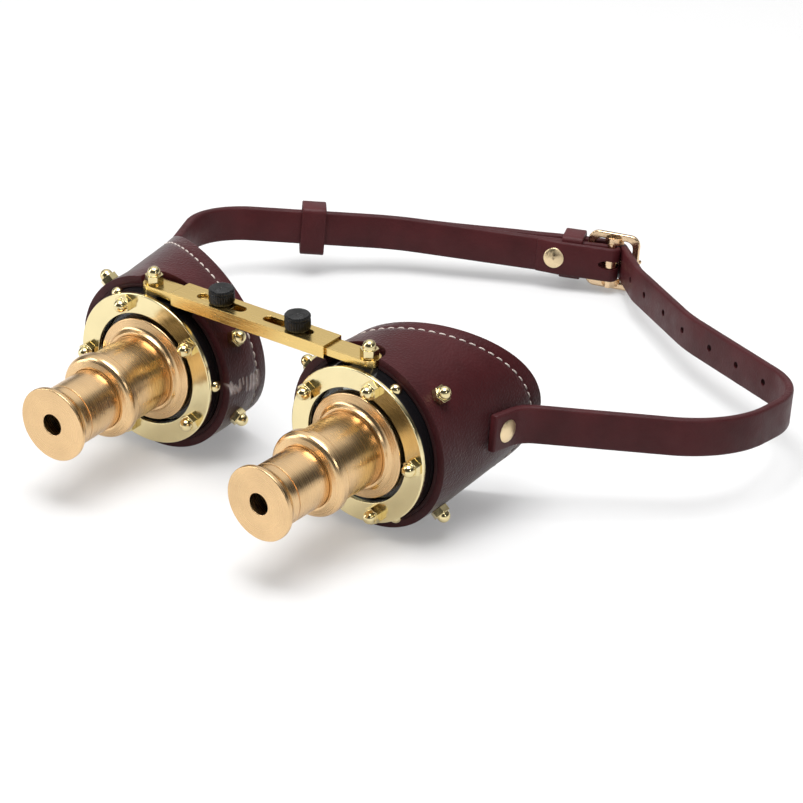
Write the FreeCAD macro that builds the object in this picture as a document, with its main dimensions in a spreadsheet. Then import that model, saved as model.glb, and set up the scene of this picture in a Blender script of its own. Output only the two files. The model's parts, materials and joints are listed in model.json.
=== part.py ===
"""Steampunk goggles: two leather eyecups with brass loupes, a sliding brass bridge and a buckled strap.

Frame: millimetres, +Z up, the wearer looks along -Y, the wearer's right eye is at -X.
The origin is the bottom centre of the whole model, on the surface that the goggles stand on.
Each eye is worked out in its own frame: the centre of the bezel's front face is the zero point,
+Y runs back along the optical axis, and a station is a distance along that axis.
"""
import FreeCAD, Part
import math
import os

import Sketcher
from FreeCAD import Placement, Rotation, Vector

# Driving sizes in millimetres: name, value, meaning.
SIZES = [
    ("eye_spacing", 74.0, "between the two bezel centres"),
    ("running_gap", 0.1, "clearance between pieces that fit in each other"),
    ("slide_gap", 0.06, "radial clearance of tubes, pins and shafts that turn or slide"),
    ("soft_gap", 0.3, "clearance of leather from pieces of another body"),
    ("overrun", 2.0, "how far a cutting shape runs past the face that it cuts"),

    ("bezel_proud", 0.1, "bezel ring past the drum's outside"),
    ("bezel_lap", 0.2, "bezel ring inside the drum's lip"),
    ("bezel_thick", 1.2, "thickness of the bezel ring"),
    ("bezel_edge", 0.25, "bevel round the front of the bezel ring"),
    ("bezel_nut_inset", 2.8, "circle of the five bezel nuts inside the ring's edge"),

    ("drum_wall", 3.0, "wall of the black drum round its rear bore"),
    ("drum_length", 12.0, "drum from its lip to its back edge"),
    ("drum_lip", 1.2, "lip in front of the glass"),
    ("drum_ledge", 1.0, "ledge of the lip that holds the glass"),
    ("drum_step", 1.6, "step from the glass seat out to the rear bore"),
    ("drum_seat_depth", 5.7, "depth of that bore behind the lip"),
    ("glass_thick", 2.0, "flat glass"),
    ("retainer_thick", 2.0, "retaining ring behind the glass"),
    ("retainer_width", 1.7, "retaining ring from its outside to its hole"),
    ("drum_flat_depth", 0.1, "depth of the milled flat where the tongue sits"),
    ("drum_relief_depth", 1.3, "depth of the relief under the bridge channel"),

    ("base_gap", 1.5, "ring of glass that shows between the loupe's flange and the bezel"),
    ("base_front", 0.3, "flange edge in front of the bezel's front face"),
    ("base_flange", 2.8, "thin outer part of the flange"),
    ("base_cone_width", 0.7, "where the flange rises to its collar"),
    ("base_cone_rise", 0.8, "rise of the flange up to there"),
    ("base_neck_wall", 0.8, "collar of the base round the tube"),
    ("base_neck_front", 2.3, "front of that collar before the bezel's front face"),
    ("base_socket_depth", 3.1, "depth of the socket that holds the tube"),
    ("base_ledge", 0.9, "base inside the bore of the tube, round the light opening"),

    ("tube_radius", 10.9, "outside of the fixed tube"),
    ("tube_wall", 1.0, "wall of the fixed tube"),
    ("collar_cove_length", 1.6, "flare of the tube behind its collar"),
    ("collar_back", 17.8, "back edge of the collar"),
    ("collar_rim_length", 2.4, "rim of the collar"),
    ("collar_proud", 1.3, "collar past the tube's outside"),
    ("collar_nose_length", 1.6, "rounded front of the collar"),
    ("collar_mouth", 0.7, "front end of the collar outside of the draw tube"),
    ("collar_lip", 0.7, "shoulder that stops the draw tube, before the collar's back edge"),
    ("collar_cove", 2.2, "radius of the hollow behind the collar"),
    ("collar_round", 3.6, "radius of the collar's rounded front"),

    ("draw_inset", 1.1, "draw tube inside the bore of the fixed tube"),
    ("draw_wall", 0.8, "wall of the draw tube"),
    ("draw_guide_length", 3.0, "guide ring at the inner end of the draw tube"),
    ("draw_stop_gap", 0.3, "guide ring short of the shoulder when drawn right out"),
    ("draw_out", 11.7, "draw tube that shows when it is drawn right out"),
    ("eyepiece_neck_length", 0.6, "straight neck of the eyepiece"),
    ("eyepiece_flare_length", 4.8, "flare of the eyepiece"),
    ("eyepiece_rim_length", 1.1, "rim of the eyepiece"),
    ("eyepiece_proud", 1.85, "rim of the eyepiece past the draw tube's outside"),
    ("eyepiece_flare", 9.5, "radius of the hollow flare"),
    ("eyepiece_spigot", 3.0, "spigot of the eyepiece in the draw tube"),
    ("eyepiece_wall", 1.2, "front wall of the eyepiece"),
    ("eyepiece_spigot_wall", 0.74, "wall of the spigot"),
    ("pinhole_radius", 3.1, "hole in the eyepiece face"),
    ("joint_groove", 0.25, "fine groove turned at the eyepiece joint"),
    ("loupe_lens_edge", 1.2, "edge thickness of the small lens"),
    ("loupe_lens_curve", 22.0, "radius of the small lens's two faces"),

    ("cup_front", 4.8, "station of the leather's front edge"),
    ("leather_thick", 2.2, "cup leather"),
    ("lining_thick", 1.0, "cup lining"),
    ("cup_rear", 50.0, "station where the rear oval is given"),
    ("cup_flare_outer", 2.3, "rear oval past the front edge towards the temple, before its turn"),
    ("cup_flare_top", 0.16, "rear oval past the front edge upwards"),
    ("cup_draw_nose", 1.8, "rear oval inside the front edge towards the nose"),
    ("cup_draw_bottom", 4.63, "rear oval inside the front edge downwards"),
    ("head_radius", 104.2, "curve of the forehead that the rim is cut to"),
    ("head_front", 22.2, "front of that curve behind the bezels"),
    ("notch_gap", 0.5, "gap of the notch behind the bridge"),
    ("notch_end", 1.0, "notch past the tongue's rounded end, away from the nose"),
    ("notch_round", 4.2, "rounded outer corner of the notch"),
    ("notch_nose", 15.8, "notch past the cup's centre, towards the nose"),

    ("nut_flats", 4.5, "acorn nut across its flats"),
    ("nut_hex_height", 2.0, "hexagon of an acorn nut"),
    ("nut_dome_radius", 1.85, "dome of an acorn nut"),
    ("nut_neck", 0.5, "straight neck between hexagon and dome"),
    ("nut_bore_depth", 3.0, "blind thread of an acorn nut"),
    ("stud_radius", 0.95, "bolts and studs"),
    ("bezel_stud_depth", 3.2, "bezel stud below the bezel's back face"),
    ("cup_bolt_station", 10.5, "cup bolts behind the bezel's front face"),
    ("cup_bolt_rise", 0.1, "seats of the cup nuts outside of the leather's front edge"),
    ("bolt_head_radius", 1.9, "round head of a cup bolt"),
    ("bolt_head_thick", 0.9, "thickness of that head"),
    ("button_radius", 1.75, "domed screw on the drum"),
    ("button_height", 1.5, "height of that dome"),
    ("button_shank", 0.8, "shank radius of that screw"),
    ("button_depth", 1.8, "shank below the drum's surface"),
    ("button_gap", 0.1, "domed screws before the leather's front edge"),

    ("bridge_offset", 1.65, "bridge channel off centre, towards -X"),
    ("channel_short", 20.9, "how much shorter the bridge channel is than the eye spacing"),
    ("channel_depth", 8.0, "bridge channel front to back"),
    ("channel_height", 3.8, "bridge channel top to bottom"),
    ("channel_wall", 0.7, "wall of the bridge channel"),
    ("channel_front", 1.7, "channel behind the bezel's front face"),
    ("slot_inner", 3.3, "inner end of a slot from the channel's middle"),
    ("slot_end", 6.75, "slot from the end of the channel"),
    ("slot_half_width", 1.6, "half the width of a slot"),
    ("tongue_end_radius", 3.2, "rounded outer end of a tongue"),
    ("tongue_past_knob", 3.5, "inner end of a tongue past its thumb screw"),
    ("bridge_stud_offset", 0.3, "bridge studs outside of the bezel centres"),
    ("bridge_stud_depth", 4.1, "foot of a bridge stud below the drum's outside"),
    ("washer_radius", 2.6, "washer under a bridge nut"),
    ("washer_thick", 0.4, "thickness of that washer"),
    ("knob_from_slot_end", 6.65, "thumb screws from the outer ends of their slots"),
    ("knob_radius", 3.6, "knurled head of a thumb screw"),
    ("knob_height", 4.5, "height of that head"),
    ("knob_shank", 1.5, "shank of a thumb screw"),
    ("knob_edge", 0.5, "bevel round the head"),
    ("knob_groove", 0.35, "depth of the turned groove under the top"),
    ("knurl_radius", 0.22, "half-round grooves of the knurl"),

    ("strap_width", 10.8, "strap"),
    ("strap_thick", 2.5, "strap"),
    ("fold_thick", 1.6, "pared leather where the strap folds round the buckle bar"),
    ("strap_rivet_station", 28.3, "strap rivets behind the bezel's front face"),
    ("strap_rivet_height", 2.3, "strap rivets above the axis"),
    ("strap_tongue", 4.6, "strap in front of its rivet"),
    ("rivet_shank", 1.2, "shank of a rivet"),
    ("rivet_head", 3.3, "head of a rivet"),
    ("rivet_head_thick", 0.9, "thickness of that head"),
    ("rivet_small_head", 2.6, "flat inner head of a rivet"),
    ("rivet_small_thick", 0.5, "thickness of the flat head"),

    ("loop_reach", 113.3, "strap's furthest bend from the middle, on the wearer's left"),
    ("cup_bend_place", 7.3, "strap's bend behind the strap rivet"),
    ("cup_bend_radius", 9.0, "radius of that bend"),
    ("approach_radius", 14.0, "tail strap's bend ahead of the buckle"),
    ("hump_radius", 5.0, "tail strap's bend over the buckle bar"),
    ("tail_radius", 20.0, "tail strap's bends where it comes down past the buckle"),
    ("buckle_x", 11.5, "buckle bar from the middle"),
    ("buckle_back", 136.2, "buckle bar behind the rivets, along the strap's plane"),
    ("bar_radius", 1.1, "centre bar of the buckle"),
    ("buckle_length", 16.4, "buckle frame along the strap"),
    ("buckle_height", 18.0, "buckle frame across the strap"),
    ("buckle_wire", 2.2, "width of the frame's sides"),
    ("buckle_thick", 1.6, "thickness of the frame"),
    ("buckle_bow", 3.2, "frame's middle plane outside of the bar"),
    ("buckle_corner", 3.2, "corner of the frame"),
    ("buckle_ear", 3.0, "half the foot of the ears that carry the bar"),
    ("prong_radius", 0.75, "prong"),
    ("prong_loop", 2.1, "outside of the prong's loop"),
    ("prong_half_width", 1.1, "half the width of the prong's loop"),
    ("prong_slot", 3.4, "half the length of the prong's slot in the fold"),
    ("prong_tip", 0.7, "prong past the middle of the frame's end bar"),
    ("keeper_wall", 1.2, "leather of the keepers"),
    ("keeper_width", 6.5, "fixed keeper along the strap"),
    ("keeper_start", 9.0, "fixed keeper from the buckle bar"),
    ("keeper_reach", 8.0, "inside height of the fixed keeper over the strap's axis"),
    ("loose_keeper_width", 7.5, "loose keeper along the strap"),
    ("loose_keeper_place", 25.8, "loose keeper's middle from the last corner of the strap"),
    ("loose_keeper_room", 0.8, "room inside the loose keeper over the tail"),
    ("loose_keeper_sag", 1.6, "room inside the loose keeper under the straps"),
    ("fold_rivet_place", 17.2, "fold rivet from the buckle bar"),
    ("fold_taper", 24.0, "where the paring of the folded end starts, from the bar"),
    ("fold_bend", 15.5, "where the folded end turns in, from the bar"),
    ("fold_end", 22.5, "folded end from the bar"),
    ("tail_lift", 6.4, "tail's middle outside of the strap's axis at the bar"),
    ("tail_drop", 9.0, "where the tail starts to come down, from the bar"),
    ("tail_free", 37.4, "tail past the last corner of the strap"),
    ("hole_radius", 1.0, "adjusting holes"),
    ("hole_pitch", 14.3, "distance of the adjusting holes"),
]

# Sizes that follow from others, so that what fits in, seats on or lines up with a piece goes with
# it: name, sum of other sizes, meaning. They run from the loupe's tube outwards.
FITTED_SIZES = [
    ("base_neck_radius", "tube_radius + base_neck_wall", "collar of the base round the tube"),
    ("base_cone_radius", "base_neck_radius + base_cone_width", "where the flange starts to rise"),
    ("base_radius", "base_cone_radius + base_flange", "loupe base flange"),
    ("base_bore", "tube_radius - tube_wall - base_ledge", "light opening of the base"),
    ("bezel_bore", "base_radius + base_gap", "hole of the bezel ring"),
    ("drum_lip_bore", "bezel_bore + bezel_lap", "hole of the lip"),
    ("drum_seat_bore", "drum_lip_bore + drum_ledge", "bore for the glass and its retaining ring"),
    ("drum_rear_bore", "drum_seat_bore + drum_step", "wider bore at the back"),
    ("retainer_bore", "drum_seat_bore - retainer_width", "hole of the retaining ring"),
    ("drum_radius", "drum_rear_bore + drum_wall", "outside of the black drum"),
    ("drum_flat", "drum_radius - drum_flat_depth", "height of the milled flat above the axis"),
    ("drum_relief", "drum_radius - drum_relief_depth", "height of the relief under the channel"),
    ("bezel_radius", "drum_radius + bezel_proud", "outside of the bezel ring"),
    ("bezel_nut_circle", "bezel_radius - bezel_nut_inset", "circle of the five bezel nuts"),
    ("lining_radius", "drum_radius + running_gap + lining_thick", "outside of the cup lining"),
    ("cup_radius", "lining_radius + running_gap + leather_thick", "leather at its front edge"),
    ("cup_barrel", "bezel_thick + drum_length + soft_gap", "station where the round front ends"),
    ("cup_rear_outer", "cup_radius + cup_flare_outer", "rear oval towards the temple"),
    ("cup_rear_nose", "cup_radius - cup_draw_nose", "rear oval towards the nose"),
    ("cup_rear_top", "cup_radius + cup_flare_top", "rear oval upwards"),
    ("cup_rear_bottom", "cup_radius - cup_draw_bottom", "rear oval downwards"),
    ("head_centre", "head_radius + head_front", "centre of the forehead's curve"),
    ("cup_bolt_seat", "cup_radius + cup_bolt_rise", "seats of the cup nuts from the axis"),
    ("button_station", "cup_front - button_radius - button_gap", "domed screws on the drum"),

    ("tube_cove_start", "collar_back - collar_cove_length", "where the tube starts to flare"),
    ("collar_shoulder", "collar_back + collar_lip", "inner shoulder that stops the draw tube"),
    ("collar_front", "collar_back + collar_rim_length", "front edge of the collar's rim"),
    ("collar_nose", "collar_front + collar_nose_length", "front end of the collar"),
    ("collar_radius", "tube_radius + collar_proud", "outside of the collar"),
    ("draw_radius", "tube_radius - tube_wall - draw_inset", "outside of the sliding draw tube"),
    ("collar_nose_radius", "draw_radius + collar_mouth", "radius of the collar's front end"),
    ("eyepiece_joint", "collar_nose + draw_out", "joint between draw tube and eyepiece"),
    ("eyepiece_flare_start", "eyepiece_joint + eyepiece_neck_length", "start of the flare"),
    ("eyepiece_rim_back", "eyepiece_flare_start + eyepiece_flare_length", "back of the rim"),
    ("eyepiece_front", "eyepiece_rim_back + eyepiece_rim_length", "front face of the eyepiece"),
    ("eyepiece_radius", "draw_radius + eyepiece_proud", "outside of the eyepiece rim"),
    ("draw_bore", "draw_radius - draw_wall", "bore of the draw tube"),
    ("eyepiece_bore", "draw_bore - slide_gap - eyepiece_spigot_wall", "bore of the eyepiece"),

    ("notch_back", "channel_front + channel_depth + notch_gap", "back of the notch"),
    ("notch_outer", "tongue_end_radius + notch_end", "notch past the cup's centre, outwards"),
    ("bridge_stud_foot", "drum_radius - bridge_stud_depth", "foot of a bridge stud"),
    ("channel_length", "eye_spacing - channel_short", "bridge channel"),
]

# Angles in degrees, and counts.
TOE_IN = 1.8
BEZEL_NUT_PHASE = {-1: 35.5, 1: 0.9}
BEZEL_NUT_COUNT = 5
BUTTON_PHASE = {-1: 0.0, 1: 60.0}
BUTTON_COUNT = 3
CUP_BOLT_OUTER_ANGLE = 41.0
CUP_BOLT_NOSE_ANGLE = 27.0
CUP_TURN = 33.9
HEAD_LEAN = 5.1
KNURL_COUNT = 26
FRAME_TURN = 18.0
TAIL_APPROACH = 135.0
HOLES_TO_CUP = 7
HOLES_ON_TAIL = 2

# Seen from above, the bends of the straps' middle lines in their own plane, chosen by hand to
# follow the photographed loop: x from the middle as a share of the loop's reach, y back from the
# rivets as a share of the way to the buckle, and the radius as a share of the loop's reach.
TAIL_STRAP_SHARES = [(1.0, 0.29, 0.282), (1.0, 0.573, 0.203), (0.534, 0.754, 0.53)]
BUCKLE_STRAP_SHARES = [(-0.858, 0.509, 0.177), (-0.441, 0.79, 0.53)]
APPROACH_X_SHARE = 0.247

# Shares of the sizes that they follow.
NUT_BEVEL_SHARE = 0.94
EAR_NECK_SHARE = 0.6
FRAME_ROUND_SHARE = 0.3
PRONG_START_SHARE = 0.3

doc = FreeCAD.newDocument("steampunk_goggles")


class Length:
    """A length: its value in millimetres and the sheet formula that gives it."""

    def __init__(self, value, formula):
        self.value = value
        self.formula = formula

    def joined(self, other, sign, result):
        return Length(result, "(%s %s %s)" % (self.formula, sign, other.formula))

    def __add__(self, other):
        return self.joined(other, "+", self.value + other.value)

    def __sub__(self, other):
        return self.joined(other, "-", self.value - other.value)

    def __mul__(self, factor):
        return Length(self.value * factor, "(%s * %.9f)" % (self.formula, factor))

    def __truediv__(self, divisor):
        return self * (1.0 / divisor)

    def __neg__(self):
        return self * -1


class Sheet:
    """The spreadsheet: one row for each size, and one attribute for each alias."""

    def __init__(self, rows, fitted_rows):
        self.cells = doc.addObject("Spreadsheet::Sheet", "Sizes")
        self.count = 0
        for alias, value, meaning in rows:
            self.add(alias, value, meaning)
        for alias, terms, meaning in fitted_rows:
            self.fit(alias, terms, meaning)

    def add(self, alias, value, meaning, formula=None):
        self.count += 1
        row = str(self.count)
        self.cells.set("A" + row, alias)
        self.cells.set("B" + row, formula or str(value))
        self.cells.set("C" + row, meaning)
        self.cells.setAlias("B" + row, alias)
        setattr(self, alias, Length(value, "Sizes." + alias))

    def fit(self, alias, terms, meaning):
        """Adds a sum of sizes, written as their names with + and - between."""
        words = terms.split()
        value = getattr(self, words[0]).value
        for sign, name in zip(words[1::2], words[2::2]):
            term = getattr(self, name).value
            value += term if sign == "+" else -term
        self.add(alias, value, meaning, "=" + terms)


size = Sheet(SIZES, FITTED_SIZES)
ZERO = size.overrun - size.overrun


def plain(x, y, z=0.0):
    return Vector(x, y, z)


def turn_z(vector, degrees):
    return Rotation(Vector(0, 0, 1), degrees).multVec(vector)


# Shape of the leather cup, needed by everything that sits on it.

def cup_share(station):
    """How far a station is from the cup's round front part towards its rear oval."""
    start = size.cup_barrel.value
    return (station - start) / (size.cup_rear.value - start)


def cup_outer_x(station, height):
    """Outer face of the cup towards the temple, from the eye's axis, at a height above it.

    Straight lines join the round front to the rear oval, and both are turned by CUP_TURN.
    """
    share = cup_share(station)
    front = size.cup_radius.value
    turn = math.radians(CUP_TURN)
    width = (size.cup_rear_outer.value + size.cup_rear_nose.value) / 2
    tall = (size.cup_rear_top.value + size.cup_rear_bottom.value) / 2
    middle_x = share * (size.cup_rear_outer.value - size.cup_rear_nose.value) / 2
    middle_z = share * (size.cup_rear_top.value - size.cup_rear_bottom.value) / 2
    long_half = front + (width - front) * share
    short_half = front + (tall - front) * share

    def place(angle):
        along_oval = long_half * math.cos(angle - turn)
        across_oval = short_half * math.sin(angle - turn)
        return (middle_x + along_oval * math.cos(turn) - across_oval * math.sin(turn),
                middle_z + along_oval * math.sin(turn) + across_oval * math.cos(turn))

    low, high = -math.pi / 3, math.pi / 3
    for step in range(60):
        angle = (low + high) / 2
        if place(angle)[1] < height:
            low = angle
        else:
            high = angle
    return place(low)[0]


RIVET_SLOPE_SPAN = size.strap_width.value / 2
CUP_SLOPE = math.degrees(math.atan2(
    cup_outer_x(size.strap_rivet_station.value + RIVET_SLOPE_SPAN, size.strap_rivet_height.value)
    - cup_outer_x(size.strap_rivet_station.value - RIVET_SLOPE_SPAN,
                  size.strap_rivet_height.value), RIVET_SLOPE_SPAN * 2))
RIVET_X = cup_outer_x(size.strap_rivet_station.value, size.strap_rivet_height.value)
TOE_COS = math.cos(math.radians(TOE_IN))
TOE_SIN = math.sin(math.radians(TOE_IN))

# The strap rivet where it comes out of the cup, from the middle and behind the bezels.
RIVET_SIDE = size.eye_spacing.value / 2 + RIVET_X * TOE_COS \
    + size.strap_rivet_station.value * TOE_SIN
RIVET_BACK = size.strap_rivet_station.value * TOE_COS - RIVET_X * TOE_SIN


def in_eye(x, y, side):
    """A place given from the middle and the bezels' front, in the frame of one eye."""
    across = x - size.eye_spacing * (side / 2)
    return across * TOE_COS - y * (side * TOE_SIN), y * TOE_COS + across * (side * TOE_SIN)


# Routes of the straps, as straight runs joined by tangent arcs.

def rounded_route(corners):
    """Runs and arcs through corners of (x, y, radius); the two end corners have radius zero."""
    points = [plain(x, y) for x, y, radius in corners]
    pieces = []
    start = points[0]
    for before, corner, after, spec in zip(points, points[1:], points[2:], corners[1:]):
        arriving = (corner - before).normalize()
        leaving = (after - corner).normalize()
        turn = arriving.getAngle(leaving)
        reach = spec[2] * math.tan(turn / 2)
        enter = corner - arriving * reach
        leave = corner + leaving * reach
        inward = (leaving - arriving).normalize()
        centre = corner + inward * (spec[2] / math.cos(turn / 2))
        middle = centre - inward * spec[2]
        pieces.append(("run", start, enter))
        pieces.append(("arc", enter, middle, leave, centre, spec[2]))
        start = leave
    pieces.append(("run", start, points[-1]))
    return pieces


def route_length(piece):
    if piece[0] == "run":
        return (piece[2] - piece[1]).Length
    turn = (piece[1] - piece[4]).getAngle(piece[3] - piece[4])
    return piece[5] * turn


def along(route, distance):
    """Point and direction of travel at a distance along a route."""
    for piece in route:
        length = route_length(piece)
        if distance <= length or piece is route[-1]:
            break
        distance -= length
    share = distance / length
    if piece[0] == "run":
        direction = (piece[2] - piece[1]).normalize()
        return piece[1] + direction * distance, direction
    spoke_in = piece[1] - piece[4]
    spoke_out = piece[3] - piece[4]
    side = 1 if spoke_in.cross(spoke_out).z > 0 else -1
    spoke = turn_z(spoke_in, side * math.degrees(spoke_in.getAngle(spoke_out)) * share)
    return piece[4] + spoke, turn_z(spoke, side * 90).normalize()


def nearest_distance(route, place):
    """Distance along a route at which it passes nearest to a place."""
    total = sum(route_length(piece) for piece in route)
    steps = 4000
    return min((total * i / steps for i in range(steps + 1)),
               key=lambda d: (along(route, d)[0] - place).Length)


def shifted_piece(piece, offset):
    """A piece of a route moved sideways, to its left when offset is positive."""
    if piece[0] == "run":
        direction = (piece[2] - piece[1]).normalize()
        step = turn_z(direction, 90) * offset
        return Part.LineSegment(piece[1] + step, piece[2] + step)
    centre = piece[4]
    left_turn = (piece[1] - centre).cross(piece[3] - centre).z > 0
    scale = (piece[5] - offset if left_turn else piece[5] + offset) / piece[5]
    ends = [centre + (point - centre) * scale for point in piece[1:4]]
    return Part.Arc(*ends)


def ribbon_face(route, thickness):
    """Flat outline of a strap of even thickness, seen from above."""
    left = [shifted_piece(piece, thickness / 2).toShape() for piece in route]
    right = [shifted_piece(piece, -thickness / 2).toShape() for piece in route]
    caps = []
    for end in (0, -1):
        a = left[end].Vertexes[end].Point
        b = right[end].Vertexes[end].Point
        caps.append(Part.LineSegment(a, b).toShape())
    wire = Part.Wire(Part.__sortEdges__(left + right + caps))
    return Part.Face(wire)


def polygon_face(points):
    return Part.Face(Part.makePolygon(points + [points[0]]))


def standing(face, width):
    """A flat outline made into a band that stands on edge, with its middle at height zero."""
    solid = face.extrude(Vector(0, 0, width))
    solid.translate(Vector(0, 0, -width / 2))
    return solid


# The strap's plane: it hangs from the rivets and comes down to the buckle, which stands on the
# surface. Its frame has x as the model, y back along the plane and z across the strap.

EYE_HEIGHT = size.cup_radius
BAR = plain(size.buckle_x.value, size.buckle_back.value)
frame_out = turn_z(Vector(0, 1, 0), FRAME_TURN)
frame_along = turn_z(Vector(1, 0, 0), FRAME_TURN)
frame_edge_round = size.buckle_thick.value * FRAME_ROUND_SHARE
frame_face = BAR + frame_out * (size.buckle_bow.value + size.buckle_thick.value / 2)
frame_far = frame_face + frame_along * (size.buckle_length.value / 2)
frame_low = frame_face - frame_out * frame_edge_round \
    + frame_along * (size.buckle_length.value / 2 - size.buckle_corner.value)


def strap_tilt():
    """Tilt at which the lowest point of the buckle frame just reaches the surface."""
    drop = EYE_HEIGHT.value + size.strap_rivet_height.value
    half = size.buckle_height.value / 2
    reach = math.hypot(frame_low.y, half)
    return math.degrees(math.asin(drop / reach) - math.atan2(half, frame_low.y))


STRAP_TILT = strap_tilt()


def cup_end(side):
    """The strap's middle line beside a cup: its front end, its rivet and the bend behind it."""
    backwards = turn_z(Vector(0, 1, 0), -(CUP_SLOPE + TOE_IN))
    outwards = turn_z(backwards, -90)
    rivet = plain(RIVET_SIDE, 0) + outwards * (size.soft_gap.value + size.strap_thick.value / 2)
    front = rivet - backwards * size.strap_tongue.value
    bend = rivet + backwards * size.cup_bend_place.value
    return [plain(side * point.x, point.y) for point in (front, rivet, bend)]


def corner(point, radius):
    return (point.x, point.y, radius)


def bends(shares):
    """Corners of a route from its table of shares."""
    reach = size.loop_reach.value
    return [(x * reach, y * size.buckle_back.value, radius * reach) for x, y, radius in shares]


def by_frame(along_frame, out):
    """Point of the strap's plane given along and out of the buckle frame, from its bar."""
    return BAR + frame_along * along_frame + frame_out * out


def prong_line():
    """Start and end of the prong's middle line, from the bar, along and out of the frame.

    The prong leaves its loop and just clears the rounded inner edge of the frame's end bar.
    """
    eccentric = size.prong_loop.value - size.prong_radius.value
    start = plain(eccentric * PRONG_START_SHARE, eccentric)
    edge = plain(size.buckle_length.value / 2 - size.buckle_wire.value + frame_edge_round,
                 size.buckle_bow.value + size.buckle_thick.value / 2 - frame_edge_round)
    clear = frame_edge_round + size.running_gap.value + size.prong_radius.value
    reach = edge - start
    climb = math.atan2(reach.y, reach.x) + math.asin(clear / reach.Length)
    length = (size.buckle_length.value / 2 - size.buckle_wire.value / 2 + size.prong_tip.value
              - start.x) / math.cos(climb)
    return start, start + plain(math.cos(climb), math.sin(climb)) * length


prong_start, prong_end = prong_line()
prong_start_plan = by_frame(prong_start.x, prong_start.y)
prong_end_plan = by_frame(prong_end.x, prong_end.y)
prong_way_plan = (prong_end_plan - prong_start_plan).normalize()

# The strap that holds the buckle, on the wearer's right.
right_front, right_rivet, right_bend = cup_end(-1)
buckle_strap_bends = bends(BUCKLE_STRAP_SHARES)
last_bend = plain(*buckle_strap_bends[-1][:2])
AXIS = (BAR - last_bend).normalize()
OUT = turn_z(AXIS, 90)


def by_bar(back, out):
    """Point of the strap's plane given back from the buckle bar and out from the strap's axis."""
    return BAR - AXIS * back + OUT * out


fold_start = by_bar(size.fold_taper.value, size.strap_thick.value / 2)
buckle_strap_corners = [corner(right_front, 0), corner(right_bend, size.cup_bend_radius.value)]
buckle_strap_corners += buckle_strap_bends
buckle_strap_corners += [corner(fold_start, 0)]
buckle_strap_route = rounded_route(buckle_strap_corners)

# The strap with the adjusting holes, on the wearer's left, whose tail lies outside of the other.
left_front, left_rivet, left_bend = cup_end(1)
fold_outside = size.bar_radius.value + size.running_gap.value + size.fold_thick.value
approach = turn_z(Vector(1, 0, 0), TAIL_APPROACH)
approach_side = turn_z(approach, -90)
pass_by = BAR + approach_side * (fold_outside + size.soft_gap.value + size.strap_thick.value / 2)
approach_x = APPROACH_X_SHARE * size.loop_reach.value
approach_start = pass_by - approach * ((approach_x - pass_by.x) / -approach.x)
hump_out = OUT * size.tail_lift.value
step_to_hump = (BAR + hump_out - pass_by).dot(OUT) / approach.dot(OUT)
hump = pass_by + approach * step_to_hump
tail_down = by_bar(size.tail_drop.value, size.tail_lift.value)
layer = size.strap_thick.value + size.soft_gap.value + size.running_gap.value
tail_flat = by_bar(size.fold_taper.value, size.strap_thick.value / 2 + layer)
before_last = plain(*buckle_strap_bends[-2][:2])
run_back = (before_last - last_bend).normalize()
run_out = turn_z(run_back, -90)
bisector = (run_out + OUT).normalize()
tail_corner = last_bend + bisector * (layer / math.cos(run_out.getAngle(OUT) / 2))
tail_end = tail_corner + run_back * size.tail_free.value
tail_strap_corners = [corner(left_front, 0), corner(left_bend, size.cup_bend_radius.value)]
tail_strap_corners += bends(TAIL_STRAP_SHARES)
tail_strap_corners += [
    corner(approach_start, size.approach_radius.value),
    corner(hump, size.hump_radius.value),
    corner(tail_down, size.tail_radius.value),
    corner(tail_flat, size.tail_radius.value),
    corner(tail_corner, buckle_strap_bends[-1][2] + layer),
    corner(tail_end, 0),
]
tail_strap_route = rounded_route(tail_strap_corners)

prong_step = (pass_by - prong_start_plan).dot(approach_side) / prong_way_plan.dot(approach_side)
prong_at_strap = prong_start_plan + prong_way_plan * prong_step

# Origin: the middle of the whole model in x and y. The straps reach furthest to both sides and
# back, and the eyepieces reach furthest to the front.
tail_face = ribbon_face(tail_strap_route, size.strap_thick.value)
buckle_face = ribbon_face(buckle_strap_route, size.strap_thick.value)
left_reach = tail_face.BoundBox.XMax
right_reach = buckle_face.BoundBox.XMin


def world_back(y, across):
    """Distance behind the bezels of a point of the strap's plane, across measured down it."""
    tilt = math.radians(STRAP_TILT)
    return RIVET_BACK + y * math.cos(tilt) + across * math.sin(tilt)


back_reach = world_back(tail_face.BoundBox.YMax, size.strap_width.value / 2)
keeper_corner = by_bar(size.keeper_start.value, size.keeper_reach.value + size.keeper_wall.value)
keeper_reach_back = world_back(keeper_corner.y, size.strap_width.value / 2
                               + size.keeper_wall.value + size.soft_gap.value)
frame_reach_back = world_back(frame_far.y, size.buckle_height.value / 2)
prong_reach_back = world_back(prong_end_plan.y + size.prong_radius.value, 0)
front_reach = size.eyepiece_front.value * TOE_COS + size.eyepiece_radius.value * TOE_SIN
back_reach = max(back_reach, keeper_reach_back, frame_reach_back, prong_reach_back)
size.add("shift_x", round(-(left_reach + right_reach) / 2, 4), "middle of the model in x")
size.add("shift_y", round((front_reach - back_reach) / 2, 4), "middle of the model in y")
doc.recompute()

strap_placement = Placement(
    Vector(size.shift_x.value, RIVET_BACK + size.shift_y.value,
           EYE_HEIGHT.value + size.strap_rivet_height.value),
    Rotation(Vector(1, 0, 0), -STRAP_TILT))

nodes = []


def keep(obj, label):
    """Give a finished sub-part its name and list it for export."""
    obj.Label = label
    nodes.append(obj)
    return obj


def bind(obj, settings):
    """Set properties of an object from lengths, with the formula bound to each."""
    for name, length in settings.items():
        obj.setExpression(name, length.formula)


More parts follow.
